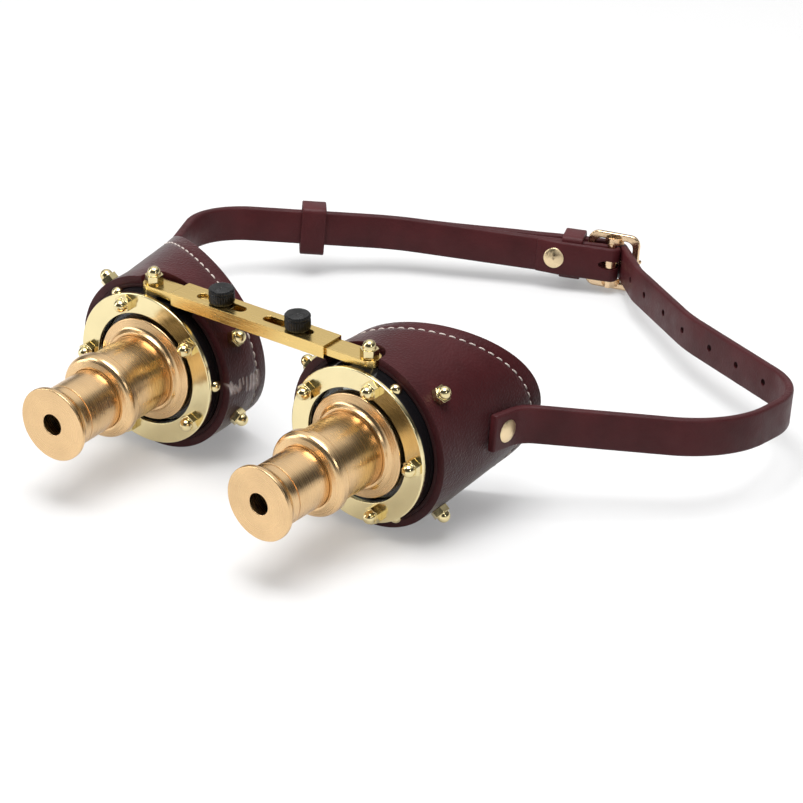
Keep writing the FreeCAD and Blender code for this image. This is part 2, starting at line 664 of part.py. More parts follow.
def put(obj, x, y, z, rotation=Rotation()):
    """Place an object at three lengths, each bound to its formula."""
    obj.Placement = Placement(Vector(x.value, y.value, z.value), rotation)
    bind(obj, {"Placement.Base.x": x, "Placement.Base.y": y, "Placement.Base.z": z})
    return obj


def put_at_eye(obj, side):
    """Move a sub-part worked out in the eye's frame to its eye."""
    x = size.eye_spacing * (side / 2) + size.shift_x
    return put(obj, x, size.shift_y, EYE_HEIGHT, Rotation(Vector(0, 0, 1), -side * TOE_IN))


def put_in_world(obj, x, y, z, rotation=Rotation()):
    """Place an object given from the middle, the bezels' front and the eyes' height."""
    return put(obj, x + size.shift_x, y + size.shift_y, z + EYE_HEIGHT, rotation)


def origin_plane(body, role):
    return [item for item in body.Origin.OriginFeatures if item.Role == role][0]


def ccw_arc(start, end, radius, centre_left):
    """Arc between two points as sketches want it, with its centre left or right of the way."""
    chord = end - start
    away = turn_z(chord, 90 if centre_left else -90).normalize()
    centre = (start + end) / 2 + away * math.sqrt(radius ** 2 - (chord.Length / 2) ** 2)
    first, second = (start, end) if centre_left else (end, start)
    begin = math.atan2(first.y - centre.y, first.x - centre.x)
    finish = math.atan2(second.y - centre.y, second.x - centre.x)
    if finish < begin:
        finish += 2 * math.pi
    return Part.ArcOfCircle(Part.Circle(centre, Vector(0, 0, 1), radius), begin, finish)


def outline_sketch(body, name, plane, outline):
    """Closed sketch through (x, y) or (x, y, radius, centre on the left) with every size bound."""
    sketch = body.newObject("Sketcher::SketchObject", name)
    sketch.AttachmentSupport = [(origin_plane(body, plane), "")]
    sketch.MapMode = "FlatFace"
    corners = [plain(item[0].value, item[1].value) for item in outline]
    count = len(outline)
    near = []
    far = []
    for index, item in enumerate(outline):
        start, end = corners[index], corners[(index + 1) % count]
        if len(item) == 2:
            sketch.addGeometry(Part.LineSegment(start, end))
            near.append(1)
            far.append(2)
        else:
            sketch.addGeometry(ccw_arc(start, end, item[2].value, item[3]))
            near.append(1 if item[3] else 2)
            far.append(2 if item[3] else 1)
    for index in range(count):
        following = (index + 1) % count
        sketch.addConstraint(Sketcher.Constraint(
            "Coincident", index, far[index], following, near[following]))
    for index, item in enumerate(outline):
        for kind, length in (("DistanceX", item[0]), ("DistanceY", item[1])):
            number = sketch.addConstraint(Sketcher.Constraint(
                kind, -1, 1, index, near[index], length.value))
            sketch.setExpression("Constraints[%d]" % number, length.formula)
        if len(item) > 2:
            number = sketch.addConstraint(Sketcher.Constraint("Radius", index, item[2].value))
            sketch.setExpression("Constraints[%d]" % number, item[2].formula)
    return sketch


def turned(name, outline):
    """A piece turned round the optical axis: outline points are (radius, station)."""
    body = doc.addObject("PartDesign::Body", name)
    sketch = outline_sketch(body, name + "_outline", "XY_Plane", outline)
    spin = body.newObject("PartDesign::Revolution", name + "_turning")
    spin.Profile = sketch
    spin.ReferenceAxis = (sketch, ["V_Axis"])
    spin.Angle = 360
    body.Tip = spin
    doc.recompute()
    return body


def rod(name, radius, height, x, y, z, direction):
    """A cylinder from a point along a direction, all bound."""
    cylinder = doc.addObject("Part::Cylinder", name)
    bind(cylinder, {"Radius": radius, "Height": height})
    return put(cylinder, x, y, z, Rotation(Vector(0, 0, 1), direction))


def block(name, low, high):
    """A box between two corners given as three lengths each."""
    box = doc.addObject("Part::Box", name)
    bind(box, {"Length": high[0] - low[0], "Width": high[1] - low[1], "Height": high[2] - low[2]})
    return put(box, *low)


def joined(name, pieces):
    union = doc.addObject("Part::MultiFuse", name)
    union.Shapes = pieces
    return union


def cut_away(name, base, tools):
    """Base minus all tools."""
    cut = doc.addObject("Part::Cut", name)
    cut.Base = base
    cut.Tool = tools[0] if len(tools) == 1 else joined(name + "_tools", tools)
    return cut


def shaped(name, shape, placement=Placement()):
    """A sub-part whose shape is worked out in code."""
    feature = doc.addObject("Part::Feature", name)
    feature.Shape = shape
    feature.Placement = placement
    return feature


def spoke(degrees):
    return Vector(math.cos(math.radians(degrees)), 0, math.sin(math.radians(degrees)))


def radial_rod(name, radius, start, end, station, degrees):
    """A cylinder that points away from the optical axis."""
    way = spoke(degrees)
    return rod(name, radius, end - start, start * way.x, station, start * way.z, way)


def acorn_nut():
    """One acorn nut standing on its seat along +Z, with its blind bore."""
    corner_radius = size.nut_flats.value / 2 / math.cos(math.pi / 6)
    hexagon = [plain(corner_radius * math.cos(math.radians(60 * i + 30)),
                     corner_radius * math.sin(math.radians(60 * i + 30))) for i in range(6)]
    prism = polygon_face(hexagon).extrude(Vector(0, 0, size.nut_hex_height.value))
    cone_top = size.nut_hex_height.value + size.nut_neck.value
    bevel = Part.makeCone(corner_radius + cone_top, size.nut_flats.value / 2 * NUT_BEVEL_SHARE,
                          cone_top)
    dome_centre = size.nut_hex_height.value + size.nut_neck.value
    neck = Part.makeCylinder(size.nut_dome_radius.value, dome_centre)
    dome = Part.makeSphere(size.nut_dome_radius.value, Vector(0, 0, dome_centre))
    bore = Part.makeCylinder(size.stud_radius.value + size.running_gap.value / 2,
                             size.nut_bore_depth.value + size.running_gap.value)
    return prism.common(bevel).fuse([neck, dome]).cut(bore).removeSplitter()


def in_direction(shape, base, direction):
    """A copy of a +Z shape set on a base point along a direction."""
    copy = shape.copy()
    copy.Placement = Placement(base, Rotation(Vector(0, 0, 1), direction))
    return copy


def eye_pieces(side, name):
    """Everything that belongs to one eye. Side is -1 on the wearer's right and 1 on the left."""
    bezel_back = size.bezel_thick
    nose = -side
    stud_hole = size.stud_radius + size.running_gap
    nut_angles = [BEZEL_NUT_PHASE[side] + 360 / BEZEL_NUT_COUNT * i for i in range(BEZEL_NUT_COUNT)]
    bolt_angles = [CUP_BOLT_OUTER_ANGLE, -CUP_BOLT_OUTER_ANGLE,
                   180 - CUP_BOLT_NOSE_ANGLE, 180 + CUP_BOLT_NOSE_ANGLE]
    if side < 0:
        bolt_angles = [180 - angle for angle in bolt_angles]
    button_angles = [BUTTON_PHASE[side] + 360 / BUTTON_COUNT * i for i in range(BUTTON_COUNT)]

    # Bezel ring: turned, then drilled once and patterned.
    ring = turned(name + "bezel_ring", [
        (size.bezel_bore, ZERO), (size.bezel_radius - size.bezel_edge, ZERO),
        (size.bezel_radius, size.bezel_edge), (size.bezel_radius, bezel_back),
        (size.bezel_bore, bezel_back)])
    drill = ring.newObject("Sketcher::SketchObject", name + "bezel_hole")
    drill.AttachmentSupport = [(origin_plane(ring, "XZ_Plane"), "")]
    drill.MapMode = "FlatFace"
    way = spoke(nut_angles[0])
    circle = size.bezel_nut_circle
    drill.addGeometry(Part.Circle(plain(circle.value * way.x, circle.value * way.z),
                                  Vector(0, 0, 1), stud_hole.value))
    for kind, length in (("DistanceX", circle * way.x), ("DistanceY", circle * way.z)):
        number = drill.addConstraint(Sketcher.Constraint(kind, -1, 1, 0, 3, length.value))
        drill.setExpression("Constraints[%d]" % number, length.formula)
    number = drill.addConstraint(Sketcher.Constraint("Radius", 0, stud_hole.value))
    drill.setExpression("Constraints[%d]" % number, stud_hole.formula)
    pocket = ring.newObject("PartDesign::Pocket", name + "bezel_drilling")
    pocket.Profile = drill
    pocket.Type = "ThroughAll"
    pocket.Midplane = True
    doc.recompute()
    pattern = ring.newObject("PartDesign::PolarPattern", name + "bezel_holes")
    pattern.Originals = [pocket]
    pattern.Axis = (origin_plane(ring, "Y_Axis"), [""])
    pattern.Angle = 360
    pattern.Occurrences = BEZEL_NUT_COUNT
    ring.Tip = pattern
    keep(put_at_eye(ring, side), name + "bezel_ring")

    # Bezel studs and acorn nuts, one group each.
    nut = acorn_nut()
    forward = Vector(0, -1, 0)
    nuts = []
    studs = []
    stud_length = size.bezel_stud_depth + bezel_back + size.nut_bore_depth - size.running_gap
    stud = Part.makeCylinder(size.stud_radius.value, stud_length.value)
    foot = bezel_back + size.bezel_stud_depth - size.running_gap
    for angle in nut_angles:
        place = spoke(angle) * circle.value
        nuts.append(in_direction(nut, place, forward))
        studs.append(in_direction(stud, place + Vector(0, foot.value, 0), forward))
    keep(put_at_eye(shaped(name + "bezel_nuts", Part.makeCompound(nuts)), side),
         name + "bezel_nuts")
    keep(put_at_eye(shaped(name + "bezel_studs", Part.makeCompound(studs)), side),
         name + "bezel_studs")

    # Drum: lip, seat for the glass, wider back bore; drilled and milled.
    lip_back = bezel_back + size.drum_lip
    seat_back = lip_back + size.drum_seat_depth
    drum_back = bezel_back + size.drum_length
    blank = turned(name + "drum_blank", [
        (size.drum_lip_bore, bezel_back), (size.drum_radius, bezel_back),
        (size.drum_radius, drum_back), (size.drum_rear_bore, drum_back),
        (size.drum_rear_bore, seat_back), (size.drum_seat_bore, seat_back),
        (size.drum_seat_bore, lip_back), (size.drum_lip_bore, lip_back)])
    tools = []
    for index, angle in enumerate(nut_angles):
        way = spoke(angle)
        tools.append(rod(name + "stud_hole_%d" % index, stud_hole,
                         size.bezel_stud_depth + size.overrun, circle * way.x,
                         bezel_back - size.overrun, circle * way.z, Vector(0, 1, 0)))
    for index, angle in enumerate(button_angles):
        tools.append(radial_rod(
            name + "button_hole_%d" % index, size.button_shank + size.running_gap,
            size.drum_radius - size.button_depth - size.running_gap,
            size.drum_radius + size.overrun, size.button_station, angle))
    bolt_hole = size.stud_radius + size.running_gap
    for index, angle in enumerate(bolt_angles):
        tools.append(radial_rod(
            name + "drum_bolt_hole_%d" % index, bolt_hole, size.drum_rear_bore - size.overrun,
            size.drum_radius + size.overrun, size.cup_bolt_station, angle))
    stud_x, stud_y = in_eye(bridge_stud_x * side, channel_middle, side)
    tools.append(rod(name + "bridge_stud_hole", stud_hole,
                     size.drum_radius - size.bridge_stud_foot + size.overrun + size.running_gap,
                     stud_x, stud_y, size.bridge_stud_foot - size.running_gap, Vector(0, 0, 1)))
    milled = (size.notch_back + size.overrun, size.drum_radius + size.overrun)
    near_x = -size.notch_outer
    far_x = size.notch_outer
    tools.append(block(name + "drum_flat_cut", (near_x, bezel_back - size.overrun, size.drum_flat),
                       (far_x, milled[0], milled[1])))
    relief_start = size.tongue_end_radius + size.soft_gap
    low_x, high_x = (relief_start, size.notch_nose) if nose > 0 else \
        (-size.notch_nose, -relief_start)
    tools.append(block(name + "drum_relief_cut",
                       (low_x, bezel_back - size.overrun, size.drum_relief),
                       (high_x, drum_back + size.overrun, milled[1])))
    drum = cut_away(name + "drum_cut", blank, tools)
    keep(put_at_eye(drum, side), name + "drum")

    # Flat glass and the ring that holds it against the lip.
    glass_edge = size.drum_seat_bore - size.running_gap
    glass_back = lip_back + size.glass_thick
    glass = turned(name + "lens", [
        (ZERO, lip_back), (glass_edge, lip_back), (glass_edge, glass_back), (ZERO, glass_back)])
    keep(put_at_eye(glass, side), name + "lens")
    retainer = turned(name + "lens_retainer", [
        (size.retainer_bore, glass_back), (glass_edge, glass_back),
        (glass_edge, glass_back + size.retainer_thick),
        (size.retainer_bore, glass_back + size.retainer_thick)])
    keep(put_at_eye(retainer, side), name + "lens_retainer")

    # Domed screws on the drum.
    dome_curve = (size.button_radius.value ** 2 + size.button_height.value ** 2) \
        / (2 * size.button_height.value)
    cap = Part.makeSphere(dome_curve, Vector(0, 0, size.button_height.value - dome_curve))
    cap = cap.common(Part.makeCylinder(dome_curve, dome_curve))
    sink = size.drum_radius.value - math.sqrt(size.drum_radius.value ** 2
                                              - size.button_radius.value ** 2)
    shank = Part.makeCylinder(size.button_shank.value, size.button_depth.value,
                              Vector(0, 0, -size.button_depth.value))
    screw = cap.fuse(shank).removeSplitter()
    buttons = []
    for angle in button_angles:
        way = spoke(angle)
        base = way * size.drum_radius.value + Vector(0, size.button_station.value, 0)
        buttons.append(in_direction(screw, base, way))
    keep(put_at_eye(shaped(name + "drum_buttons", Part.makeCompound(buttons)), side),
         name + "drum_buttons")

    # Cup bolts with their heads inside the drum, and their acorn nuts outside.
    head_top = size.drum_rear_bore.value - sink - size.running_gap.value
    bolt = Part.makeCylinder(size.stud_radius.value,
                             size.cup_bolt_seat.value + size.nut_bore_depth.value
                             - size.running_gap.value - head_top)
    head = Part.makeCylinder(size.bolt_head_radius.value, size.bolt_head_thick.value,
                             Vector(0, 0, -size.bolt_head_thick.value))
    bolt = bolt.fuse(head).removeSplitter()
    bolts = []
    cup_nuts = []
    for angle in bolt_angles:
        way = spoke(angle)
        station = Vector(0, size.cup_bolt_station.value, 0)
        bolts.append(in_direction(bolt, way * head_top + station, way))
        cup_nuts.append(in_direction(nut, way * size.cup_bolt_seat.value + station, way))
    keep(put_at_eye(shaped(name + "cup_bolts", Part.makeCompound(bolts)), side),
         name + "cup_bolts")
    keep(put_at_eye(shaped(name + "cup_nuts", Part.makeCompound(cup_nuts)), side),
         name + "cup_nuts")

    # Leather cup and its lining: lofted walls, cut to the forehead and notched for the bridge.
    leather_inside = size.leather_thick
    lining_outside = size.leather_thick + size.running_gap
    lining_inside = lining_outside + size.lining_thick
    for part_name, outside, inside in (("cup_leather", ZERO, leather_inside),
                                       ("cup_lining", lining_outside, lining_inside)):
        wall = cut_away(name + part_name + "_wall",
                        cup_loft(name + part_name + "_outside", outside, side),
                        [cup_loft(name + part_name + "_inside", inside, side)])
        faced = cut_away(name + part_name + "_faced", wall,
                         [forehead_tool(name + part_name + "_forehead", side)])
        tools = cup_tools(name + part_name, side, bolt_angles, bolt_hole)
        cup = cut_away(name + part_name + "_cut", faced, tools)
        keep(put_at_eye(cup, side), name + part_name)

    # Loupe base: flange seated on the glass, with the socket that holds the tube.
    neck_front = -size.base_neck_front
    socket_back = neck_front + size.base_socket_depth
    socket = size.tube_radius + size.slide_gap
    rim_front = -size.base_front
    base = turned(name + "loupe_base", [
        (size.base_bore, socket_back), (socket, socket_back), (socket, neck_front),
        (size.base_neck_radius, neck_front), (size.base_cone_radius, rim_front - size.base_cone_rise),
        (size.base_radius, rim_front), (size.base_radius, lip_back), (size.base_bore, lip_back)])
    keep(put_at_eye(base, side), name + "loupe_base")

    # Fixed tube with its collar and the shoulder that stops the draw tube.
    tube_bore = size.tube_radius - size.tube_wall
    collar_bore = size.draw_radius + size.slide_gap
    tube = turned(name + "loupe_tube", [
        (tube_bore, socket_back), (tube_bore, -size.collar_shoulder),
        (collar_bore, -size.collar_shoulder), (collar_bore, -size.collar_nose),
        (size.collar_nose_radius, -size.collar_nose, size.collar_round, True),
        (size.collar_radius, -size.collar_front), (size.collar_radius, -size.collar_back,
                                                   size.collar_cove, False),
        (size.tube_radius, -size.tube_cove_start), (size.tube_radius, socket_back)])
    keep(put_at_eye(tube, side), name + "loupe_tube")

    # Draw tube with its guide ring, drawn right out.
    draw_bore = size.draw_bore
    guide_front = size.draw_stop_gap - size.collar_shoulder
    guide_back = guide_front + size.draw_guide_length
    guide_radius = tube_bore - size.slide_gap
    draw = turned(name + "draw_tube", [
        (draw_bore, guide_back), (draw_bore, -size.eyepiece_joint),
        (size.draw_radius, -size.eyepiece_joint), (size.draw_radius, guide_front),
        (guide_radius, guide_front), (guide_radius, guide_back)])
    keep(put_at_eye(draw, side), name + "draw_tube")

    # Eyepiece: spigot, fine groove, hollow flare, rim and the face with its pinhole.
    spigot_back = size.eyepiece_spigot - size.eyepiece_joint
    spigot = draw_bore - size.slide_gap
    face_back = size.eyepiece_wall - size.eyepiece_front
    groove_radius = size.draw_radius - size.joint_groove
    groove_front = -size.eyepiece_joint - size.joint_groove
    eyepiece = turned(name + "eyepiece", [
        (size.pinhole_radius, face_back), (size.pinhole_radius, -size.eyepiece_front),
        (size.eyepiece_radius, -size.eyepiece_front), (size.eyepiece_radius, -size.eyepiece_rim_back,
                                                       size.eyepiece_flare, False),
        (size.draw_radius, -size.eyepiece_flare_start), (size.draw_radius, groove_front),
        (groove_radius, groove_front), (groove_radius, -size.eyepiece_joint),
        (spigot, -size.eyepiece_joint), (spigot, spigot_back), (size.eyepiece_bore, spigot_back),
        (size.eyepiece_bore, face_back)])
    keep(put_at_eye(eyepiece, side), name + "eyepiece")

    # Small lens behind the spigot, held by it in the draw tube.
    edge_back = spigot_back + size.loupe_lens_edge
    bulge = Length(size.loupe_lens_curve.value
                   - math.sqrt(size.loupe_lens_curve.value ** 2 - size.eyepiece_bore.value ** 2),
                   "(Sizes.loupe_lens_curve - sqrt(Sizes.loupe_lens_curve ^ 2"
                   " - Sizes.eyepiece_bore ^ 2))")
    loupe_lens = turned(name + "loupe_lens", [
        (ZERO, spigot_back - bulge, size.loupe_lens_curve, True),
        (size.eyepiece_bore, spigot_back), (spigot, spigot_back), (spigot, edge_back),
        (size.eyepiece_bore, edge_back, size.loupe_lens_curve, True),
        (ZERO, edge_back + bulge)])
    keep(put_at_eye(loupe_lens, side), name + "loupe_lens")

    # Rivet that fastens the strap: shank square to the cup's wall, domed head outside.
    rivet_axis = spoke(0)
    rivet_axis = turn_z(rivet_axis, -CUP_SLOPE)
    inner_face = -(size.leather_thick + size.running_gap + size.lining_thick + size.soft_gap * 2)
    outer_face = size.soft_gap + size.strap_thick + size.running_gap
    rivet = rivet_solid(outer_face.value - inner_face.value, size.rivet_head.value,
                        size.rivet_small_head.value)
    base = Vector(RIVET_X, size.strap_rivet_station.value, size.strap_rivet_height.value)
    base = base + rivet_axis * inner_face.value
    if side < 0:
        base.x = -base.x
        rivet_axis = Vector(-rivet_axis.x, rivet_axis.y, rivet_axis.z)
    shape = in_direction(rivet, base, rivet_axis)
    keep(put_at_eye(shaped(name + "strap_rivet", Part.makeCompound([shape])), side),
         name + "strap_rivet")

    bridge_side(side, name, nut)


def rivet_solid(grip, outer_head, inner_head):
    """A rivet along +Z: flat inner head below zero, shank through the grip, domed head above it."""
    shank = Part.makeCylinder(size.rivet_shank.value, grip)
    thick = size.rivet_head_thick.value
    flat = size.rivet_small_thick.value
    curve = (outer_head ** 2 + thick ** 2) / (2 * thick)
    dome = Part.makeSphere(curve, Vector(0, 0, grip + thick - curve))
    dome = dome.common(Part.makeCylinder(outer_head * 2, thick * 2, Vector(0, 0, grip)))
    washer = Part.makeCylinder(inner_head, flat, Vector(0, 0, -flat))
    return shank.fuse([dome, washer]).removeSplitter()


def cup_loft(name, inset, side):
    """Ruled solid from the cup's round front to its rear oval, all drawn in by inset."""
    facing_back = Rotation(Vector(1, 0, 0), -90) * Rotation(Vector(0, 0, 1), -CUP_TURN * side)
    sections = []
    for end, station in (("_front", size.cup_front), ("_barrel", size.cup_barrel)):
        ring = doc.addObject("Part::Circle", name + end)
        bind(ring, {"Radius": size.cup_radius - inset})
        sections.append(put(ring, ZERO, station, ZERO, facing_back))
    rear = doc.addObject("Part::Ellipse", name + "_rear")
    half_width = (size.cup_rear_outer + size.cup_rear_nose) / 2 - inset
    half_height = (size.cup_rear_top + size.cup_rear_bottom) / 2 - inset
    bind(rear, {"MajorRadius": half_width, "MinorRadius": half_height})
    rear.MajorRadius = half_width.value
    rear.MinorRadius = half_height.value
    put(rear, (size.cup_rear_outer - size.cup_rear_nose) * (side / 2), size.cup_rear,
        (size.cup_rear_top - size.cup_rear_bottom) / 2, facing_back)
    loft = doc.addObject("Part::Loft", name)
    loft.Sections = sections + [rear]
    loft.Solid = True
    loft.Ruled = True
    return loft


def forehead_tool(name, side):
    """The forehead that a cup's rim is cut to: a cylinder that leans forward at its top."""
    x, y = in_eye(ZERO, size.head_centre, side)
    tall = size.cup_rear_top + size.overrun * 2
    lean = math.tan(math.radians(HEAD_LEAN))
    upwards = Vector(lean * TOE_SIN * side, -lean * TOE_COS, 1)
    height = (tall * 2 + size.head_radius * lean) * upwards.Length
    return rod(name, size.head_radius, height,
               x - tall * upwards.x, y - tall * upwards.y, -tall, upwards)


def cup_tools(name, side, bolt_angles, bolt_hole):
    """Cuts of the leather and its lining: notch for the bridge and holes for bolts and rivet."""
    tools = []
    tall = size.cup_rear_top + size.overrun * 2
    low_x, high_x = (-size.notch_nose, size.notch_outer) if side > 0 else \
        (-size.notch_outer, size.notch_nose)
    round_x = (size.notch_outer - size.notch_round) * side
    round_back = size.notch_back - size.notch_round
    notch_front = size.cup_front - size.overrun
    tools.append(block(name + "_notch_front", (low_x, notch_front, size.drum_relief),
                       (high_x, round_back, tall)))
    deep_low, deep_high = (low_x, round_x) if side > 0 else (round_x, high_x)
    tools.append(block(name + "_notch_back", (deep_low, notch_front, size.drum_relief),
                       (deep_high, size.notch_back, tall)))
    tools.append(rod(name + "_notch_round", size.notch_round, tall - size.drum_relief,
                     round_x, round_back, size.drum_relief, Vector(0, 0, 1)))
    for index, angle in enumerate(bolt_angles):
        tools.append(radial_rod(name + "_bolt_hole_%d" % index, bolt_hole,
                                size.drum_radius - size.overrun,
                                size.cup_bolt_seat + size.overrun * 2,
                                size.cup_bolt_station, angle))
        tools.append(radial_rod(name + "_nut_seat_%d" % index,
                                size.nut_flats / 2 / math.cos(math.pi / 6) + size.running_gap,
                                size.cup_bolt_seat - size.running_gap / 2,
                                size.cup_bolt_seat + size.overrun * 2,
                                size.cup_bolt_station, angle))
    way = turn_z(spoke(0), -CUP_SLOPE)
    if side < 0:
        way = Vector(-way.x, way.y, way.z)
    reach = size.leather_thick + size.lining_thick + size.overrun
    start = Vector(RIVET_X * side, size.strap_rivet_station.value, size.strap_rivet_height.value)
    start = start - way * reach.value
    hole = Part.makeCylinder(size.rivet_shank.value + size.running_gap.value,
                             reach.value + size.overrun.value, start, way)
    tools.append(shaped(name + "_rivet_hole", hole))
    return tools


channel_middle = size.channel_front + size.channel_depth / 2
bridge_stud_x = size.eye_spacing / 2 + size.bridge_stud_offset
slot_outer = size.channel_length / 2 - size.slot_end
knob_x = slot_outer - size.knob_from_slot_end
tongue_inner = knob_x - size.tongue_past_knob
tongue_bottom = size.drum_flat
channel_bottom = size.drum_flat - size.running_gap - size.channel_wall
channel_top = channel_bottom + size.channel_height
tongue_top = channel_top - size.channel_wall - size.running_gap


def bridge_side(side, name, nut):
    """Tongue, stud, washer, nut and thumb screw of one side of the bridge."""
    inner = tongue_inner * side
    outer = bridge_stud_x * side
    low_x, high_x = (inner, outer) if side > 0 else (outer, inner)
    half = size.tongue_end_radius
    bar = block(name + "tongue_bar", (low_x, channel_middle - half, tongue_bottom),
                (high_x, channel_middle + half, tongue_top))
    end = rod(name + "tongue_end", half, tongue_top - tongue_bottom, outer, channel_middle,
              tongue_bottom, Vector(0, 0, 1))
    stud_hole = rod(name + "tongue_stud_hole", size.stud_radius + size.running_gap,
                    (tongue_top - tongue_bottom) + size.overrun * 2, outer, channel_middle,
                    tongue_bottom - size.overrun, Vector(0, 0, 1))
    screw_hole = rod(name + "tongue_screw_hole", size.knob_shank + size.slide_gap,
                     (tongue_top - tongue_bottom) + size.overrun * 2, knob_x * side,
                     channel_middle, tongue_bottom - size.overrun, Vector(0, 0, 1))
    tongue = cut_away(name + "tongue_cut", joined(name + "tongue_blank", [bar, end]),
                      [stud_hole, screw_hole])
    keep(put_in_world(tongue, ZERO, ZERO, ZERO), name + "tongue")

    washer_top = tongue_top + size.washer_thick
    disc = rod(name + "washer_disc", size.washer_radius, size.washer_thick, ZERO, ZERO, ZERO,
               Vector(0, 0, 1))
    hole = rod(name + "washer_hole", size.stud_radius + size.running_gap,
               size.washer_thick + size.overrun * 2, ZERO, ZERO, -size.overrun, Vector(0, 0, 1))
    washer = cut_away(name + "washer_cut", disc, [hole])
    keep(put_in_world(washer, outer, channel_middle, tongue_top), name + "bridge_washer")
    keep(put_in_world(shaped(name + "bridge_nut", nut.copy()), outer, channel_middle, washer_top),
         name + "bridge_nut")
    stud = doc.addObject("Part::Cylinder", name + "bridge_stud")
    bind(stud, {"Radius": size.stud_radius,
                "Height": washer_top + size.nut_bore_depth - size.running_gap
                - size.bridge_stud_foot})
    keep(put_in_world(stud, outer, channel_middle, size.bridge_stud_foot), name + "bridge_stud")

    # Thumb screw: turned head and shank, the knurl cut once and patterned.
    foot = tongue_bottom + size.running_gap - channel_top - size.running_gap
    groove = size.knob_height - size.knob_edge * 2
    radius = size.knob_radius
    waist = radius - size.knob_groove
    screw = doc.addObject("PartDesign::Body", name + "thumb_screw")
    sketch = outline_sketch(screw, name + "thumb_screw_outline", "XZ_Plane", [
        (ZERO, foot), (size.knob_shank, foot), (size.knob_shank, ZERO), (radius, ZERO),
        (radius, groove - size.knob_groove), (waist, groove), (radius, groove + size.knob_groove),
        (radius, size.knob_height - size.knob_groove), (waist, size.knob_height),
        (ZERO, size.knob_height)])
    spin = screw.newObject("PartDesign::Revolution", name + "thumb_screw_turning")
    spin.Profile = sketch
    spin.ReferenceAxis = (sketch, ["V_Axis"])
    spin.Angle = 360
    doc.recompute()
    knurl = screw.newObject("Sketcher::SketchObject", name + "knurl_outline")
    knurl.AttachmentSupport = [(origin_plane(screw, "XY_Plane"), "")]
    knurl.MapMode = "FlatFace"
    knurl.addGeometry(Part.Circle(plain(radius.value, 0), Vector(0, 0, 1), size.knurl_radius.value))
    for kind, length in (("DistanceX", radius), ("DistanceY", ZERO)):
        number = knurl.addConstraint(Sketcher.Constraint(kind, -1, 1, 0, 3, length.value))
        knurl.setExpression("Constraints[%d]" % number, length.formula)
    number = knurl.addConstraint(Sketcher.Constraint("Radius", 0, size.knurl_radius.value))
    knurl.setExpression("Constraints[%d]" % number, size.knurl_radius.formula)
    groove_cut = screw.newObject("PartDesign::Pocket", name + "knurl_cut")
    groove_cut.Profile = knurl
    groove_cut.Reversed = True
    groove_cut.setExpression("Length", (groove - size.knob_groove).formula)
    doc.recompute()
    pattern = screw.newObject("PartDesign::PolarPattern", name + "knurl")
    pattern.Originals = [groove_cut]
    pattern.Axis = (origin_plane(screw, "Z_Axis"), [""])
    pattern.Angle = 360
    pattern.Occurrences = KNURL_COUNT
    screw.Tip = pattern
    keep(put_in_world(screw, knob_x * side, channel_middle, channel_top + size.running_gap),
         name + "thumb_screw")


def bridge_channel():
    """Closed brass channel with a slot for each thumb screw in its top."""
    half = size.channel_length / 2
    low = (-half - size.bridge_offset, size.channel_front, channel_bottom)
    high = (half - size.bridge_offset, size.channel_front + size.channel_depth, channel_top)
    wall = size.channel_wall
    blank = block("channel_blank", low, high)
    tools = [block("channel_inside",
                   (low[0] - size.overrun, low[1] + wall, low[2] + wall),
                   (high[0] + size.overrun, high[1] - wall, high[2] - wall))]
    for side in (-1, 1):
        ends = [size.slot_inner * side - size.bridge_offset, slot_outer * side - size.bridge_offset]
        if side < 0:
            ends.reverse()
        width = size.slot_half_width
        low_x = ends[0] + width
        high_x = ends[1] - width
        bottom = channel_top - wall * 1.5
        top = channel_top + size.overrun
        tools.append(block("slot_run_%d" % side, (low_x, channel_middle - width, bottom),
                           (high_x, channel_middle + width, top)))
        for tag, x in (("low", low_x), ("high", high_x)):
            tools.append(rod("slot_end_%s_%d" % (tag, side), width, top - bottom, x,
                             channel_middle, bottom, Vector(0, 0, 1)))
    channel = cut_away("channel_cut", blank, tools)
    keep(put_in_world(channel, ZERO, ZERO, ZERO), "bridge_channel")


def strap_hole(place, direction, radius):
    """A hole across a strap, square to its direction of travel."""
    thick = size.strap_thick.value + size.overrun.value * 2
    way = turn_z(direction, 90)
    return Part.makeCylinder(radius, thick, place - way * (thick / 2), way)


